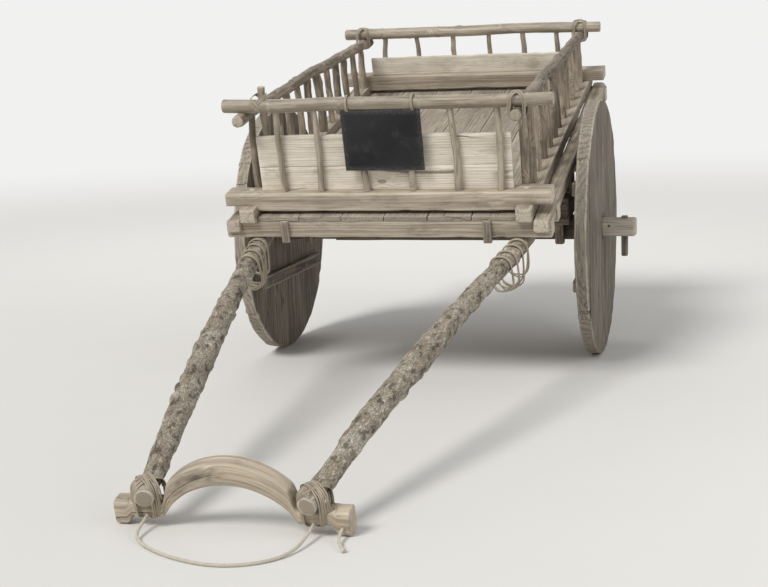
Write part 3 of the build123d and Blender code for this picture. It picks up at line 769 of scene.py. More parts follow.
# A hewn timber along one axis of a box. Point = middle + (anchor (half - r) + outward (r + d)),
# where r is the corner radius, wandering along the timber, and d is noise drawn out along the
# grain, less chips at the corners. Rows of smaller size close the ends.
def timber(low, high, axis, seed, **changes):
    look = {**timberBasis, **changes}
    across = [(axis + 1) % 3, (axis + 2) % 3]
    half, middle = ((high - low) / 2)[across], ((high + low) / 2)[across]
    length = high[axis] - low[axis]
    anchor, outward, onCorner = sectionMarks(look["side"])
    soft = min(look["soft"], 0.7 * half.min())
    along = np.linspace(soft, length - soft, max(5, int(length / look["stepLength"])))
    along = np.concatenate([[0, 0, 0, 0.3 * soft], along, [length - 0.3 * soft] + [length] * 3])
    shrink, cut = closing(len(along) - 6, (0.35, 0.75, 1))[1:]
    along = along[:, None]
    inset = 0.7 * soft * cut
    inset[[3, -4]] = 0.25 * soft
    draw = np.random.default_rng(seed)
    pith = draw.uniform(-look["spread"], look["spread"], 2)
    grain = grid(*(anchor * half).T, along)
    radius = soft * (1 + 0.6 * fuzz(grain, (0.2, 0.2, 0.11), seed))[..., None]
    push = look["rough"] * (
        fuzz(grain, (0.06, 0.06, 0.3), seed + 1) + 0.6 * fuzz(grain, (0.02, 0.02, 0.12), seed + 2)
    )
    chip = lumps(grain, (0.05, 0.05, 0.06), seed + 3, 0.3) * onCorner
    push = (push - look["chips"] * chip - inset)[..., None]
    flat = (anchor * (half - radius) + outward * (radius + push)) * shrink[..., None]
    points = np.zeros(grain.shape)
    points[..., across] = middle + flat
    face = 0.0012 * fuzz(grain, 0.03, seed + 4) * (shrink < 1)
    points[..., axis] = low[axis] + along + face
    grain[..., :2] = flat + pith
    grain[..., 2] += grainShift * seed
    toEnd = np.minimum(along, length - along)
    wear = np.maximum(onCorner, np.exp(-toEnd / 0.012) * 0.6)
    return shell(points, grain, wear, look["tone"] + draw.uniform(-0.25, 0.25), cut=cut)


stickBasis = {
    "marks": 14,
    "rough": 0.05,  # share of the radius
    "knots": 0,
    "rings": (),  # places of joints along it, in metres
    "ringRise": 0.05,
    "taper": 0.0,
    "oval": 0.0,
    "upright": False,
    "tone": 0.5,
    "chip": 0.0,
}


# A natural stick about a line. Radius = r (1 - taper s) (1 + noise drawn out along it + a bell
# for each knot + a low ridge for each joint), with smaller rows to close the ends.
def stick(line, radius, seed, **changes):
    look = {**stickBasis, **changes}
    draw = np.random.default_rng(seed)
    rows, shrink, cut = closing(len(line), (0.3, 0.65, 0.93))
    radius = np.broadcast_to(radius, len(line))[rows, None]
    gone = goneAlong(line)[rows, None]
    ways = waysAlong(line, (1, 0, 0) if look["upright"] else (0, 0, 1))
    ahead, side, up = (way[rows] for way in ways)
    radius = radius * (1 - look["taper"] * gone / gone[-1])
    cosine, sine = circle(look["marks"])
    grain = grid(radius * cosine, radius * sine, gone)
    swell = 1 + look["rough"] * (
        fuzz(grain, (0.03, 0.03, 0.09), seed) + 0.5 * fuzz(grain, (0.012, 0.012, 0.03), seed + 1)
    )
    for _ in range(look["knots"]):
        at, way = draw.uniform(0.08, 0.92) * gone[-1], draw.uniform(0, 2 * math.pi)
        facing = cosine * math.cos(way) + sine * math.sin(way)
        swell += 0.22 * np.exp(-(((gone - at) / 0.018) ** 2) - ((facing - 1) / 0.24) ** 2)
    for at in look["rings"]:
        swell += look["ringRise"] * np.exp(-(((gone - at) / 0.006) ** 2))
    swell -= look["chip"] * lumps(grain, (0.02, 0.02, 0.05), seed + 2, 0.3)
    a, b = radius * swell * shrink * cosine, radius * swell * shrink * sine
    inward = np.zeros(gone.shape)
    inward[[2, 3, -4, -3], 0] = 0.03, 0.16, -0.16, -0.03
    line = line[rows] + ahead * inward * radius
    points = carried(line, side, up, a * (1 + look["oval"]), b * (1 - look["oval"]))
    grain = grid(a, b, gone + grainShift * seed)
    tone = look["tone"] + draw.uniform(-0.25, 0.25)
    return shell(points, grain, np.clip(swell * 2 - 1.9, 0, 1), tone, cut=cut)


pegDepth = 0.014  # metres of a peg that are in its hole


# The round end of a peg, standing a little out of a face.
def pegEnd(place, way, radius, rise, seed):
    line = evenly(place + np.outer((-pegDepth, rise), way), 0.005)
    return stick(line, radius, seed, marks=12, rough=0.04, upright=abs(way[2]) > 0.5)


# Cane wound round a joint: a = A cos t and b = r sin t + (B - r) s, where s is the sign of
# sin t with a soft step, so that two half ovals r high are joined by straight sides. It is
# traced once for each turn while it moves sideways by one pitch, and carries a flat oval.
def winding(centre, ways, halves, rounds, look, seed):
    draw = np.random.default_rng(seed)
    wayA, wayB = unit(np.array(ways, float))
    wayC = np.cross(wayA, wayB)
    angle = np.linspace(0, 2 * math.pi * look["turns"], int(72 * look["turns"]) + 1)[:, None]
    lift = look["thick"] / 2
    rise = np.where(np.sin(angle) > 0, *rounds) + lift
    a = (halves[0] + lift) * np.cos(angle)
    b = rise * np.sin(angle) + (halves[1] + lift - rise) * np.tanh(5 * np.sin(angle))
    loose = 1 + look["loose"] * np.sin(1.7 * angle + seed) * draw.uniform(0.3, 1)
    sideways = look["pitch"] * (angle / (2 * math.pi) - look["turns"] / 2)
    sideways = sideways + look["wander"] * np.sin(2.3 * angle + seed)
    line = np.array(centre) + wayA * a * loose + wayB * b * loose + wayC * sideways
    line = evenly(line, look["stepLength"])
    ahead = unit(np.gradient(line, axis=0))
    flat = unit(wayC - (ahead @ wayC)[:, None] * ahead)
    cosine, sine = circle(8)
    gone = np.arange(len(line))[:, None] * look["stepLength"]
    a = look["width"] / 2 * (1 + 0.08 * np.sin(gone / 0.03 + seed)) * cosine
    b = look["thick"] / 2 * sine
    points = carried(line, flat, np.cross(ahead, flat), a, b)
    return shell(points, grid(a, b, gone + seed), 0, 0.5 + draw.uniform(-0.3, 0.3))


wheel = {
    "radius": 0.595,
    "seam": 0.476,
    "hole": 0.042,
    "cheekMiddle": 0.53,  # where a cheek's skin starts, from the axle
    "soft": 0.009,
    "faceRows": 26,
    "treadRows": 16,
    "markLength": 0.0085,
    "rough": 0.0016,
    "chips": 0.012,
    "gouge": 0.009,
    "gap": 0.0025,
    "splitPlace": 0.489,  # a split in the front cheek, this far ahead of the axle
    "splitMiddle": -0.05,  # and how far its middle is above the axle
    "splitHalf": 0.3,
    "splitWidth": 0.0035,
    "splitDepth": 0.018,
    "splitShade": 0.018,  # how far the painted shade beside it reaches
    "proud": 0.002,  # how far the middle plank stands out of the cheeks
}


# Marks about a step apart along an arc and along a straight line, without the last one.
def arcMarks(radius, start, end, step):
    count = max(3, int(abs(math.radians(end - start)) * radius / step))
    angle = np.radians(np.linspace(start, end, count, endpoint=False))
    return radius * np.stack([np.cos(angle), np.sin(angle)], -1)


def lineMarks(start, end, step):
    count = max(3, int(math.dist(start, end) / step))
    return np.linspace(start, end, count, endpoint=False)


# A plank's skin goes from its middle out over one face, round the rim and back over the other.
# Face rows: hole (1 - f) + (outline - n e) f. Corner rows: outline - n e (1 - sin a), with the
# depth falling by e (1 - cos a). e is the corner radius, which noise makes larger at chips.
def wheelPlank(outline, hole, middle, half, seed, look, split=0):
    ahead = np.roll(outline, -1, 0) - np.roll(outline, 1, 0)
    out = unit(np.stack([ahead[:, 1], -ahead[:, 0]], -1))
    marks = np.pad(outline, ((0, 0), (0, 1)))
    chip = lumps(marks, (0.05, 0.05, 1), seed, 0.15)
    onRim = (np.linalg.norm(outline, axis=1) > look["radius"] - 0.002).astype(float)
    edges = [
        look["soft"] * (0.35 + 0.65 * onRim) * (1 + 0.5 * fuzz(marks, (0.11, 0.11, 1), seed + k))
        + look["chips"] * chip * onRim
        for k in (1, 2)
    ]
    faceShare = 1 - np.linspace(1, 0, look["faceRows"]) ** 1.5
    bend = np.radians([22, 45, 68, 90])
    flats, falls = [], []
    for edge in edges:
        share = faceShare[:, None, None]
        face = hole * (1 - share) + (outline - out * edge[:, None]) * share
        corner = outline - out * (edge * (1 - np.sin(bend))[:, None])[..., None]
        flats.append(np.concatenate([face, corner]))
        falls.append(np.concatenate([np.zeros(face.shape[:2]), edge * (1 - np.cos(bend))[:, None]]))
    tread = np.linspace(0, 1, look["treadRows"] + 2)[1:-1, None]
    across = (half - edges[0]) * (1 - tread) + (edges[1] - half) * tread
    rim = np.repeat(outline[None], len(tread), 0)
    flat = np.concatenate([flats[0], rim, flats[1][::-1]])
    depth = np.concatenate([half - falls[0], across, (falls[1] - half)[::-1]])
    face = np.append(np.ones(len(faceShare)), np.cos(bend))[:, None]
    face = np.concatenate([face, 0 * tread, -face[::-1]])
    nearEdge = np.append(faceShare**8, np.ones(len(bend)))[:, None]
    nearEdge = np.concatenate([nearEdge, 0 * tread + 1, nearEdge[::-1]])
    grain = grid(flat[..., 0], depth, flat[..., 1])
    wave = fuzz(grain, (0.05, 0.05, 0.22), seed + 3)
    wave = wave + 0.6 * fuzz(grain, (0.018, 0.018, 0.07), seed + 4)
    depth = depth + face * look["rough"] * wave
    gouge = lumps(grain, (0.03, 0.02, 0.03), seed + 5, 0.1)
    inward = (1 - abs(face)) * onRim * (0.0015 + 0.0015 * wave + look["gouge"] * gouge)
    line = flat[..., 0] + look["splitPlace"] + 0.003 * np.sin(flat[..., 1] / 0.05)
    height = (flat[..., 1] - look["splitMiddle"]) / look["splitHalf"]
    length = split * np.clip(1 - height**4, 0, 1) * (np.abs(face) > 0.5)
    opened = np.exp(-((line / look["splitWidth"]) ** 2)) * length
    # Painted shade: darker beside the split as well as inside it
    dark = np.exp(-((line / look["splitShade"]) ** 2)) * length
    depth = depth - np.sign(face) * look["splitDepth"] * opened
    inward = np.clip(inward, 0, 1) + look["gap"] * (1 - onRim) * nearEdge
    flat = flat - out * inward[..., None]
    points = grid(middle + depth, flat[..., 0], flat[..., 1] + axleHeight)
    corner = 4 * abs(face) * (1 - abs(face))
    wear = np.clip((0.4 * (1 - abs(face)) + corner) * onRim * (0.8 + 0.3 * wave), 0, 1)
    cut = (1 - abs(face)) * np.clip(1.3 * np.abs(out[:, 1]) - 0.2, 0, 1) * onRim
    grain += (-outline[:, 0].mean() * 0.9 - 0.03, 0.11, grainShift * seed)
    # Painted shade: the tone falls inside the split and in the band beside it
    tone = 0.5 + np.random.default_rng(seed).uniform(-0.25, 0.25) - 0.6 * opened - 0.7 * dark
    return shell(points, grain, wear, tone, wrap=True, cut=cut)


# Timbers for the solids of a node, with seeds that follow on.
def timbers(node, axis, seed, body="cart", **changes):
    boxes = cadBoxes(node, body)
    return [timber(low, high, axis, seed + k, **changes) for k, (low, high) in enumerate(boxes)]


# Bars across the inner face of a wheel, with the ends of the pegs through them
batten = {
    "soft": 0.007,
    "rough": 0.0015,
    "pegShares": (0.09, 0.3, 0.7, 0.91),
    "pegRadius": 0.009,
    "pegRise": 0.005,
    "pegWander": 0.006,
}


# Three planks: the middle one between two chords of the wheel, and a cheek outside each.
def buildWheel(word, side, look):
    seam, radius, step = look["seam"], look["radius"], look["markLength"]
    rise = math.sqrt(radius**2 - seam**2)
    lean = math.degrees(math.acos(seam / radius))
    low, high = cadBoxes(f"wheel_{word}_middle_plank", "wheelset")[0]
    middle, half = (low + high)[0] / 2, (high - low)[0] / 2
    rear = lineMarks((seam, -rise), (seam, rise), step)
    over = arcMarks(radius, lean, 180 - lean, step)
    centre = np.vstack([rear, over, -rear, -over])
    hole = centre * look["hole"] / np.abs(centre).max(1, keepdims=True)
    cheek = np.vstack([arcMarks(radius, 180 - lean, 180 + lean, step), rear * (-1, 1)])
    pole = np.zeros(cheek.shape) - (look["cheekMiddle"], 0)
    seed = 20 if side > 0 else 40
    shells = [
        wheelPlank(centre, hole, middle, half, seed, look),
        wheelPlank(cheek, pole, middle, half - look["proud"], seed + 6, look, 1),
        wheelPlank(-cheek, -pole, middle, half - look["proud"], seed + 12, look),
    ]
    planks = [f"wheel_{word}_{plank}" for plank in ("middle_plank", "front_cheek", "rear_cheek")]
    finish = (wood["wheelWood"], "wheel_plank", "wheelset")
    addPiece(planks, shells, *finish, f"wheel{word.title()}")
    node = f"wheel_{word}_battens"
    bars = timbers(node, 1, seed + 20, "wheelset", soft=batten["soft"], rough=batten["rough"])
    for k, (low, high) in enumerate(cadBoxes(node, "wheelset")):
        for share in batten["pegShares"]:
            place = low + (high - low) * (side < 0, share, 0.5)
            place[2] += batten["pegWander"] * math.sin(40 * share + k)
            size = (batten["pegRadius"], batten["pegRise"])
            bars.append(pegEnd(place, (-side, 0, 0), *size, seed + k))
    addPiece(node, bars, *finish, f"battens{word.title()}")


for word, side in sides:
    buildWheel(word, side, wheel)
print("wheels built")

# The axle from its middle outwards: place, half size, and squareness (2 is round)
axle = {
    "stations": (
        (0.0, 0.060, 16), (0.484, 0.060, 16), (0.488, 0.059, 2), (0.681, 0.059, 2),
        (0.683, 0.062, 2), (0.750, 0.062, 2), (0.752, 0.042, 16), (0.955, 0.042, 16),
        (0.963, 0.038, 12),
    ),
    "marks": 48,
    "rough": 0.0012,
    "stub": 0.812,  # where the worn stub starts
    "hole": (0.842, -0.0415, 0.604),  # a peg end standing out of the near stub, painted near-black as the shade inside a round hole
    "holeRadius": 0.008,
}


# Section |a|^p + |b|^p = h^p carried along the axle, with h and p from the table, less noise
# drawn out along the grain where it is square. Journals get none, because they turn.
def buildAxle(look):
    place, size, square = np.array(look["stations"]).T
    along = np.unique(np.concatenate([place, np.linspace(0, place[-1], 90)]))
    along = np.concatenate([-along[:0:-1], along])
    rows, shrink, cut = closing(len(along), (0.25, 0.55, 0.85))
    along = along[rows, None]
    h, p = (np.interp(np.abs(along), place, values) for values in (size, square))
    cosine, sine = circle(look["marks"])
    far = (np.abs(cosine) ** p + np.abs(sine) ** p) ** (-1 / p) * h
    grain = grid(far * cosine, far * sine, along)
    noise = fuzz(grain, (0.05, 0.05, 0.2), 3) - 1 + 0.5 * fuzz(grain, (0.015, 0.015, 0.1), 4)
    far = far * shrink + look["rough"] * (p > 6) * noise
    points = grid(along, far * cosine, far * sine + axleHeight)
    grain = grid(far * cosine + 0.004, far * sine, along)
    wear = np.clip((np.abs(along) - look["stub"]) / 0.02 + 1, 0, 1)
    wear = wear * (0.75 + 0.25 * fuzz(grain, (0.03, 0.03, 0.05), 5))
    # Painted shade: the peg end's tone is pushed far down, so that it shows as a dark round hole
    hole = pegEnd(look["hole"], (0, -1, 0), look["holeRadius"], 0.0006, 5)
    hole["tone"] = hole["tone"] - 2
    beam = shell(points, grain, wear, 0.55, cut=cut)
    addPiece("axle", [beam, hole], wood["axleWood"], "dark_timber", "wheelset")


buildAxle(axle)
for word, side in sides:
    node = f"linchpin_{word}"
    pin = timbers(node, 2, 60 + len(word), "wheelset", rough=0.001, stepLength=0.01, tone=0.3)
    addPiece(node, pin, wood["darkWood"], "wheel_plank", "wheelset")
print("axle built")

# Bearing blocks are hollowed below, so that their journal turns clear
bearing = {"hollow": 0.0605, "soft": 0.01, "rough": 0.002}
dark = (wood["darkWood"], "dark_timber")
for number, (word, side) in enumerate(sides):
    node = f"bearing_block_{word}"
    size = {"soft": bearing["soft"], "rough": bearing["rough"], "side": 26, "stepLength": 0.012}
    block = timbers(node, 0, 70 + number, **size)[0]
    y, up = block["points"][:, 1], block["points"][:, 2] - axleHeight
    hollow = np.sqrt(np.clip(bearing["hollow"] ** 2 - y**2, 0, None))
    inside = (up < hollow) & (np.abs(y) < bearing["hollow"])
    block["points"][inside, 2] = axleHeight + hollow[inside]
    addPiece(node, [block], *dark)
    pegs = [f"axle_peg_{word}_{place}" for place in ("front", "rear")]
    size = {"soft": 0.008, "stepLength": 0.012, "tone": 1.0}
    made = [timbers(p, 2, 74 + number + len(p.split("_")[-1]), **size)[0] for p in pegs]
    addPiece(pegs, made, *dark, name=f"axlePegs{word.title()}")
addPiece("bolster", timbers("bolster", 0, 80, soft=0.009, rough=0.002), *dark)

# Bed frame: node, axis and how it differs from a plain timber
guard = {"soft": 0.01, "chips": 0.012, "rough": 0.002}
bedTimbers = (
    ("front_beam", 0, {"tone": 0.6}),
    ("second_beam", 0, {"tone": 0.4}),
    ("axle_beam", 0, {"tone": 0.4}),
    ("middle_beam", 0, {"tone": 0.4}),
    ("rear_beam", 0, {}),
    ("side_sill_left", 1, {"soft": 0.007}),
    ("side_sill_right", 1, {"soft": 0.007}),
    ("guard_rail_left", 1, guard),
    ("guard_rail_right", 1, guard),
    ("front_head_beam", 0, {"soft": 0.007, "tone": 0.8}),
    ("tail_head_beam", 0, {"soft": 0.007, "tone": 0.6}),
)
bed = {
    "sillInner": 0.5655,
    "sillTop": 1.013,
    "pegPlace": (0.601, 0.008, -0.001),  # sideways, along from its beam's middle, up from its top
    "pegRadius": 0.013,
    "pegRise": 0.003,
}
for number, (node, axis, changes) in enumerate(bedTimbers):
    low, high = cadBoxes(node)[0]
    made = timbers(node, axis, 90 + number, side=8, **changes)
    if "head_beam" in node:
        p = made[0]["points"]
        over = np.abs(p[:, 0]) > bed["sillInner"]
        p[over, 2] = np.maximum(p[over, 2], bed["sillTop"])
        for side in (-1, 1):
            x, y, z = bed["pegPlace"]
            place = (side * x, (low + high)[1] / 2 + y, high[2] + z)
            made.append(pegEnd(place, (0, 0, 1), bed["pegRadius"], bed["pegRise"], 91 + number))
    addPiece(node, made, wood["beamWood"], "beam")

boards = {
    "floor": {"soft": 0.003, "rough": 0.001, "chips": 0.004, "side": 10, "spread": 0.3},
    "ends": {"soft": 0.0025, "chips": 0.003, "side": 10, "spread": 0.3, "tone": 0.75},
    "pegRadius": 0.0075,
    "pegRise": 0.0012,
    "pegWander": 0.012,
    "ragged": 0.007,  # how far the top edge of the upper board dips
}
beams = [cadBoxes(f"{word}_beam")[0] for word in ("second", "axle", "middle", "rear")]
planks = timbers("floor_planks", 1, 110, **boards["floor"])
for k, (low, high) in enumerate(cadBoxes("floor_planks")):
    for number, beam in enumerate(beams):
        for share in (0.25, 0.75):
            place = low + (high - low) * (share, 0, 1)
            wander = boards["pegWander"] * math.sin(9 * k + 5 * share + number)
            place[1] = (beam[0] + beam[1])[1] / 2 + wander
            size = (boards["pegRadius"], boards["pegRise"])
            planks.append(pegEnd(place, (0, 0, 1), *size, 30 * k + number))
addPiece("floor_planks", planks, wood["floorWood"], "board")
for node, seed in (("front_boards", 120), ("tail_board", 130)):
    boxes, made = cadBoxes(node), timbers(node, 0, seed, **boards["ends"])
    for board, (low, high) in zip(made, boxes):
        if high[2] > max(top[2] for bottom, top in boxes) - 0.01:
            p = board["points"]
            share = (p[:, 2] - low[2]) / (high[2] - low[2])
            line = grid(p[:, 0], 0, 0)
            dip = 0.5 + 0.5 * fuzz(line, (0.16, 1, 1), seed) + 0.4 * fuzz(line, (0.04, 1, 1), 7)
            p[:, 2] -= boards["ragged"] * share**3 * np.clip(dip, 0, 2)
    addPiece(node, made, wood["boardWood"], "board")
print("bed built")


# Crooked line up through the middle of an upright: it leans by lean (s - 1/2), bows by
# bow sin(pi s) and has a small kink at each of its points, each in two directions.
def crookedLine(low, high, draw, look):
    share = np.linspace(0, 1, 6)[:, None]
    lean, bow = (draw.uniform(-1, 1, 2) * look[word] for word in ("lean", "bow"))
    across = lean * (share - 0.5) + bow * np.sin(math.pi * share)
    across = across + draw.uniform(-look["kink"], look["kink"], (6, 2))
    bottom, top = low[2] - look["foot"], high[2] + look["head"]
    points = np.hstack([((low + high) / 2)[:2] + across, bottom + share * (top - bottom)])
    return smoothLine(points, look["step"])


# Side fences: sticks between the sill and the top rail, let into each by foot and head
fence = {
    "lean": (0.004, 0.016), "bow": (0.006, 0.009), "kink": 0.0022, "step": 0.012,
    "foot": 0.004, "head": 0.012, "thin": (0.72, 1.0), "rough": 0.1, "chip": 0.15,
}
rail = {"side": 0.588, "radius": 0.025, "step": 0.01, "wander": (0.006, 0.003), "lift": 0.015}
sticky = (wood["stickWood"], "stick_wood")
for number, (word, side) in enumerate(sides):
    draw = np.random.default_rng(140 + number)
    boxes = sorted(cadBoxes(f"fence_sticks_{word}"), key=lambda box: box[0][1])
    sticks = [
        stick(
            crookedLine(low, high, draw, fence), (high - low)[0] / 2 * draw.uniform(*fence["thin"]),
            150 + 20 * number + k, upright=True, rough=fence["rough"], knots=2,
            oval=draw.uniform(-0.12, 0.12), taper=draw.uniform(-0.05, 0.2), chip=fence["chip"],
            tone=0.25 + 0.65 * ((0.618 * k + 0.5) % 1),
        )
        for k, (low, high) in enumerate(boxes)
    ]
    addPiece(f"fence_sticks_{word}", sticks, *sticky)
    corners = cadSolids(f"top_rail_{word}")[0]
    low, high = corners.min(0), corners.max(0)
    start, end = (corners[np.abs(corners[:, 1] - y) < 0.02, 2].mean() for y in (low[1], high[1]))
    share = np.linspace(0, 1, 9)
    line = grid(
        (low + high)[0] / 2 + draw.uniform(-1, 1, 9) * rail["wander"][0],
        low[1] + share * (high[1] - low[1]),
        start + share * (end - start) + rail["lift"] * 4 * share * (1 - share)
        + draw.uniform(-1, 1, 9) * rail["wander"][1],
    )
    pole = stick(smoothLine(line, rail["step"]), rail["radius"], 180 + number, marks=20,
                 rough=0.12, knots=11, chip=0.25)
    addPiece(f"top_rail_{word}", [pole], *sticky)
print("side fences built")

# Cross poles with their joints, and the stakes and the corner post under them
poles = {"step": 0.01, "wander": 0.004, "sink": 0.004, "joints": (0.21, 0.52, 0.86, 1.17)}
stakes = {
    "lean": (0.014, 0.003), "bow": (0.008, 0.002), "kink": 0.0022, "step": 0.01,
    "foot": 0.004, "head": 0.02, "thin": (0.85, 1),
}
smooth = (wood["poleWood"], "pole_wood")
for number, word in enumerate(("front", "tail")):
    draw = np.random.default_rng(200 + number)
    low, high = cadBoxes(f"{word}_pole")[0]
    sway = draw.uniform(-1, 1, (7, 2)) * poles["wander"] - (0, poles["sink"])
    line = np.column_stack([np.linspace(low[0], high[0], 7), (low + high)[1:] / 2 + sway])
    pole = stick(smoothLine(line, poles["step"]), (high - low)[2] / 2 * 0.97, 210 + number,
                 marks=26, rough=0.035, rings=poles["joints"], taper=0.08, knots=3)
    addPiece(f"{word}_pole", [pole], *smooth)
    made = [
        stick(
            crookedLine(low, high, draw, stakes),
            (high - low)[0] / 2 * draw.uniform(*stakes["thin"]), 220 + 10 * number + k,
            upright=True, rough=0.08, knots=1, taper=0.12,
        )
        for k, (low, high) in enumerate(cadBoxes(f"{word}_stakes"))
    ]
    addPiece(f"{word}_stakes", made, *smooth)
low, high = cadBoxes("corner_post")[0]
x, y, z = (low + high) / 2
line = [(x - 0.004, y, low[2]), (x + 0.003, y, z - 0.05), (x - 0.003, y, z + 0.12),
        (x + 0.002, y, high[2])]
post = stick(smoothLine(line, poles["step"]), (high - low)[0] / 2, 240, upright=True, rough=0.09,
             knots=2, taper=0.06)
addPiece("corner_post", [post], *smooth)
print("cross fences built")

# Lashings of split cane. Each joint has two windings that cross.
lashing = {
    "turns": 4.5,
    "width": 0.0055,
    "thick": 0.0022,
    "pitch": 0.0062,
    "stepLength": 0.004,
    "loose": 0.012,  # share of its size by which a turn may stand off the joint
    "wander": 0.001,  # metres sideways
}


# A winding each way over the joint, the second one on top of the first.
def crossed(centre, halves, rounds, ways, look, seed):
    wider = {**look, "turns": look["turns"] - 1}
    outer = np.array(halves) + look["thick"]
    return [
        winding(centre, ways[0], halves, rounds, look, seed),
        winding(centre, ways[1], outer, rounds, wider, seed + 1),
    ]


diagonal = math.sqrt(2)
overWays = (((1, 1, 0), (0, 0, 1)), ((1, -1, 0), (0, 0, 1)))
behindWays = (((1, 0, 1), (0, -1, 0)), ((1, 0, -1), (0, -1, 0)))
front, tail = (cadBoxes(f"{word}_pole")[0] for word in ("front", "tail"))
frontMiddle, poleReach = (front[0] + front[1]) / 2, (front[1] - front[0])[2] / 2
shells = []
for (low, high), side, seed in ((front, 1, 251), (tail, 1, 255), (tail, -1, 253)):
    bottom = low[2] - 2 * rail["radius"]
    middle = (side * rail["side"], (low + high)[1] / 2, (bottom + high[2]) / 2)
    halves = (diagonal * poleReach + 0.001, (high[2] - bottom) / 2)
    shells += crossed(middle, halves, (poleReach, rail["radius"]), overWays, lashing, seed)
addPiece("pole_lashings", shells, cane, "cane")
low, high = cadBoxes("corner_post")[0]
middle = ((low + high)[0] / 2, (front[0] + high)[1] / 2, frontMiddle[2])
halves = (diagonal * poleReach - 0.003, (high - front[0])[1] / 2)
made = crossed(middle, halves, (poleReach, 0.4 * poleReach), behindWays, lashing, 262)
addPiece("post_lashing", made, cane, "cane")

# Blank label board, the two cane ties that hang it from the pole, and the hook pegs
label = {"soft": 0.0015, "rough": 0.0006, "chips": 0.002, "side": 12}
addPiece("label_board", timbers("label_board", 0, 270, **label), blackGloss, "label")
tie = {**lashing, "turns": 2.0, "pitch": 0.005}
ties = []
for k, (low, high) in enumerate(cadBoxes("label_ties")):
    middle = ((low + high)[0] / 2, frontMiddle[1] - 0.002, frontMiddle[2] - 0.004)
    halves = (poleReach + 0.001, poleReach + 0.004)
    ways = ((0, 1, 0), (0, 0, 1))
    ties.append(winding(middle, ways, halves, (poleReach, poleReach), tie, 272 + k))
addPiece("label_ties", ties, cane, "cane")
hook = {"soft": 0.004, "stepLength": 0.008, "chips": 0.008, "tone": 0.3}
addPiece("hook_pegs", timbers("hook_pegs", 2, 280, **hook), wood["stickWood"], "beam")
print("lashings wound")

# Shafts: crooked logs with their bark on; centre to the left, along, up, and radius
shaft = {
    "stations": (
        (0.262, -2.893, 0.806, 0.033), (0.340, -2.3619, 0.844, 0.042),
        (0.405, -1.9591, 0.853, 0.047), (0.478, -1.4881, 0.858, 0.041),
        (0.566, -0.905, 0.839, 0.038), (0.592, -0.600, 0.840, 0.037),
    ),
    "rough": 0.07,
    "knobs": 0.16,
    "pits": 0.1,
    "marks": 40,
    "step": 0.009,
}
# Pairs of cane loops on each shaft: place along, how far each hangs, and its lean
shaftLoop = {
    "loops": ((-0.9, 0.078, 0.03), (-0.965, 0.094, -0.07), (-1.04, 0.085, 0.05),
              (-1.11, 0.07, 0.11)),
    "wander": 0.005,
    "thick": 0.0065,
    "step": 0.005,
    "clear": 0.002,
    "twinStep": 0.008,  # from one loop of a pair to the other
    "twinDrop": 0.14,  # share by which one hangs lower
}


# A bark log about a line. Radius = r (1 + noise) (1 + knobs - pits), where knobs and pits are
# the upper parts of two more noises, about as wide as they are long, which fade at the tip.
def barkLog(side, look, seed):
    stations = np.array(look["stations"]) * (side, 1, 1, 1)
    full = smoothLine(stations[:, :3], look["step"])
    radius = np.interp(full[:, 1], stations[:, 1], stations[:, 3])
    log = stick(full, radius, seed, marks=look["marks"], rough=look["rough"], knots=9)
    points = log["points"]
    centre = np.stack([np.interp(points[:, 1], full[:, 1], full[:, k]) for k in range(3)], -1)
    knob = lumps(log["grain"], (0.022, 0.022, 0.035), seed + 5, 0)
    pit = lumps(log["grain"], (0.012, 0.012, 0.02), seed + 6, 0.2)
    fade = np.clip(np.abs(points[:, 1] - full[0, 1]) / 0.03, 0, 1)
    swell = 1 + fade * (look["knobs"] * (knob - 0.35) - look["pits"] * pit)
    log["points"] = centre + (points - centre) * swell[:, None]
    log["points"][:, 1] = points[:, 1]
    return log


# A loop hung on a shaft: two half circles joined by straight sides, traced by the angle, with
# the lower half let down by the drop and leaning along the shaft.
def hangingLoop(centre, radius, drop, lean, look, seed):
    angle = np.linspace(0, 2 * math.pi, 72, endpoint=False)
    reach, thick, wander = radius + look["thick"] / 2, look["thick"] / 2, look["wander"]
    hung = 1 - 1 / (1 + np.exp(-9 * np.sin(angle)))
    line = np.array(centre) + grid(
        reach * np.cos(angle) + wander * np.sin(3 * angle + seed) * hung,
        (2 * lean * drop + wander * np.sin(2 * angle + 3 * seed)) * hung,
        reach * np.sin(angle) - drop * hung,
    )
    line = evenly(np.vstack([line, line[:1]]), look["step"])[:-1]
    a, b = (thick * part for part in circle(10))
    gone = np.arange(len(line))[:, None] * look["step"]
    points = carried(line, *waysAlong(line, (0, 1, 0), closed=True)[1:], a, b)
    return shell(points, grid(a, b, gone + seed), 0, 0.5 + 0.3 * math.sin(7 * seed), wrap=True)


# A shaft's centre to the left, its height and its radius, at a place along.
def shaftAt(along):
    stations = np.array(shaft["stations"])
    return [np.interp(along, stations[:, 1], stations[:, k]) for k in (0, 2, 3)]


for number, (word, side) in enumerate(sides):
    addPiece(f"shaft_{word}", [barkLog(side, shaft, 290 + number)], bark, "bark_log")
    loops = []
    for k, (along, drop, lean) in enumerate(shaftLoop["loops"]):
        x, z, r = shaftAt(along)
        for twin in (-0.5, 0.5):
            middle = (side * x, along + twin * shaftLoop["twinStep"], z)
            hung = drop * (1 + twin * shaftLoop["twinDrop"])
            size = (r + shaftLoop["clear"], hung, lean)
            loops.append(hangingLoop(middle, *size, shaftLoop, k + twin + 5 * number))
    addPiece(f"shaft_loops_{word}", loops, cane, "cane")
print("shafts built")

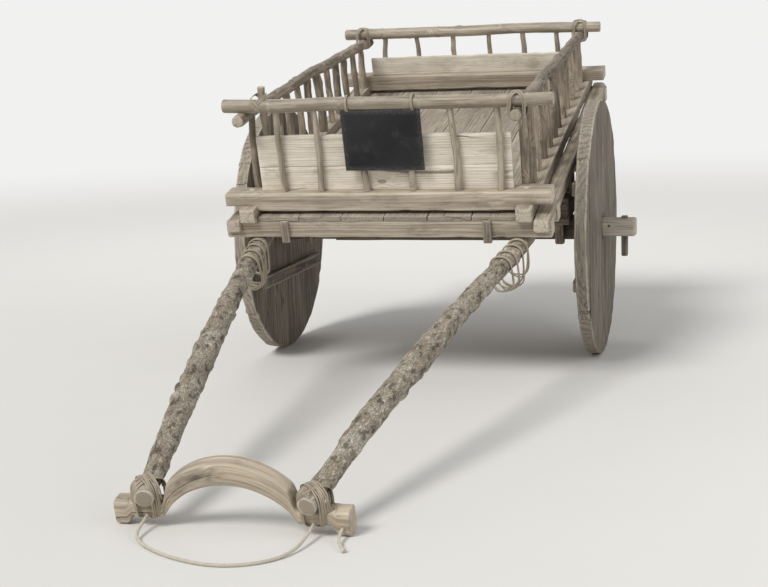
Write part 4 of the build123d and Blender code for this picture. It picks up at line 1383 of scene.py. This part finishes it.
# Yoke on the level cart: heights of its top and underside, and where they change
yoke = {
    "centre": -2.835,
    "depth": 0.070,
    "crownTop": 0.925,
    "crownBottom": 0.845,
    "shoulder": 0.205,
    "shoulderTop": 0.832,
    "shoulderStep": (-0.010, 0.016),  # where its soft step starts and ends
    "archHalf": 0.222,
    "seat": 0.77396,
    "neckBottom": 0.72396,
    "footBottom": 0.69196,
    "footInner": 0.335,
    "footStep": (-0.014, 0.012),
    "tip": 0.382,
    "rough": 0.02,
    "dents": 0.03,
    "marks": 40,
    "step": 0.004,
}


# From first to second as a value goes from low to high, by 3t^2 - 2t^3.
def eased(first, second, value, low, high):
    t = np.clip((value - low) / (high - low), 0, 1)
    return first + (second - first) * t * t * (3 - 2 * t)


# Circle arc over the neck: crown high in the middle and edge high at half its width.
def arch(reach, half, edge, crown):
    rise = crown - edge
    radius = (half**2 + rise**2) / (2 * rise)
    return crown - radius + np.sqrt(radius**2 - np.minimum(reach, half) ** 2)


# Section |a|^5 + |b|^5 = 1 between the yoke's top and underside, carried across the cart. Both
# lines are circle arcs over the neck, and meet the flat seats and the feet by soft steps.
def buildYoke(look):
    x = np.arange(-look["tip"], look["tip"] + 1e-6, look["step"])
    rows, shrink = closing(len(x), (0.3, 0.65, 0.9))[:2]
    x = x[rows, None]
    reach, shoulder = np.abs(x), look["shoulder"]
    top = arch(reach, shoulder, look["shoulderTop"], look["crownTop"])
    top = eased(top, look["seat"], reach - shoulder, *look["shoulderStep"])
    bottom = arch(reach, look["archHalf"], look["neckBottom"], look["crownBottom"])
    bottom = eased(bottom, look["footBottom"], reach - look["footInner"], *look["footStep"])
    a, b = (np.sign(part) * np.abs(part) ** 0.4 for part in circle(look["marks"]))
    y, z = look["depth"] / 2 * shrink * a, (top - bottom) / 2 * shrink * b
    grain = grid(y, z, x)
    rough = 1 + look["rough"] * fuzz(grain, (0.03, 0.03, 0.09), 300)
    rough = rough - look["dents"] * lumps(grain, (0.02, 0.02, 0.04), 301, 0)
    rough = np.minimum(rough, 1)
    points = grid(x, look["centre"] + y * rough, (top + bottom) / 2 + z * rough)
    wear = np.clip(np.abs(a * b) * 1.4 - 0.6, 0, 1)
    beam = shell(points, grain + (0.01, 0, 0), wear, 0.6)
    addPiece("yoke", [beam], wood["yokeWood"], "yoke_wood")


buildYoke(yoke)
yokeLashing = {
    **lashing, "turns": 6.5, "width": 0.006, "thick": 0.0026, "pitch": 0.0066, "stepLength": 0.005,
}
for number, (word, side) in enumerate(sides):
    x, z, r = shaftAt(yoke["centre"])
    bottom, top = yoke["neckBottom"], z + r + 0.002
    middle = (side * x, yoke["centre"], (bottom + top) / 2)
    halves = (diagonal * yoke["depth"] / 2 + 0.002, (top - bottom) / 2)
    made = crossed(middle, halves, (r, 0.014), overWays, yokeLashing, 310 + 3 * number)
    addPiece(f"yoke_lashing_{word}", made, cane, "cane")
print("yoke built")

# Plain pale floor, even sky and soft lamps
studio = {
    "floor": (0.74, 0.73, 0.71),
    "floorHalf": 60,  # metres, about a middle this far behind the frame's origin
    "floorBack": 2,
    "sky": (0.88, 0.88, 0.875),
    "skyLight": 0.50,
    "fadeFrom": 5.5,  # metres from the middle of the floor, where it turns into the sky
    "fadeTo": 15,
    "sunPower": 2.2,
    "sunFrom": (-0.55, -1.0, 1.15),
    "sunSpread": 22,  # degrees
    "sunColour": (1.0, 0.985, 0.96),
}


# The floor is a square sheet of points, z = 0.
def addFloor(look):
    line = np.linspace(-look["floorHalf"], look["floorHalf"], 3)
    points = grid(line, line[:, None] + look["floorBack"], 0).reshape(-1, 3)
    faces = np.array([(k, k + 1, k + 4, k + 3) for k in (0, 1, 3, 4)])
    mesh = bpy.data.meshes.new("floor")
    mesh.from_pydata(points.tolist(), [], faces.tolist())
    material, shader, start = newMaterial("floorPaint")
    place = start.node("TexCoord", output=3)
    fine = place.noise((2.2, 2.2, 2.2), 3.0)
    shade = fine.blend(*([share * c for c in look["floor"]] for share in (0.985, 1.015)))
    finishMaterial(shader, shade, 0.85 + (fine - 0.5) * 0.05, fine, 0.0005, 0.1, 0.15)
    far = place.length().step(look["fadeFrom"], look["fadeTo"])
    glow = start.node("Emission", {"Color": (*look["sky"], 1)})
    both = start.node("MixShader", {0: far, 1: Wire(start.tree, shader.outputs[0]), 2: glow})
    out = start.tree.nodes["Material Output"]
    start.tree.links.new(both.socket, out.inputs["Surface"])
    mesh.materials.append(material)
    addObject("floor", mesh)


addFloor(studio)


# Puts a lamp at a place, looking against the way given.
def addLamp(name, lamp, place, away):
    away = unit(np.array(away, float))
    across = unit(np.cross((0, 0, 1), away))
    stand(addObject(name, lamp), place, across, np.cross(away, across), away)


sun = bpy.data.lights.new("sun", "SUN")
sun.energy, sun.angle = studio["sunPower"], math.radians(studio["sunSpread"])
sun.color = studio["sunColour"]
addLamp("sun", sun, (-3, -6, 6), studio["sunFrom"])

# Area lamps: place, what it looks at, size and watts
areaLamps = (
    ("fillLamp", (5.2, -2.6, 3.4), (0.1, 0.6, 0.7), 3.5, 70),
    ("backLamp", (-2.0, 5.4, 4.4), (0.0, 0.5, 0.8), 3.0, 50),
)
for name, place, target, size, power in areaLamps:
    lamp = bpy.data.lights.new(name, "AREA")
    lamp.size, lamp.energy = size, power
    addLamp(name, lamp, place, np.subtract(place, target))


# The sky lights softly, and is paler where the camera or a gloss sees it.
def addSky(look):
    world = bpy.data.worlds.new("sky")
    world.use_nodes = True
    bpy.context.scene.world = world
    back = world.node_tree.nodes["Background"]
    camera = Wire(world.node_tree).node("LightPath")
    seen = camera.maths("MAXIMUM", camera, camera.output(3))
    power = look["skyLight"] + seen * (1 - look["skyLight"])
    back.inputs["Color"].default_value = (*look["sky"], 1)
    world.node_tree.links.new(power.socket, back.inputs["Strength"])


addSky(studio)
bpy.context.scene.view_settings.view_transform = "Standard"
print("studio lit")
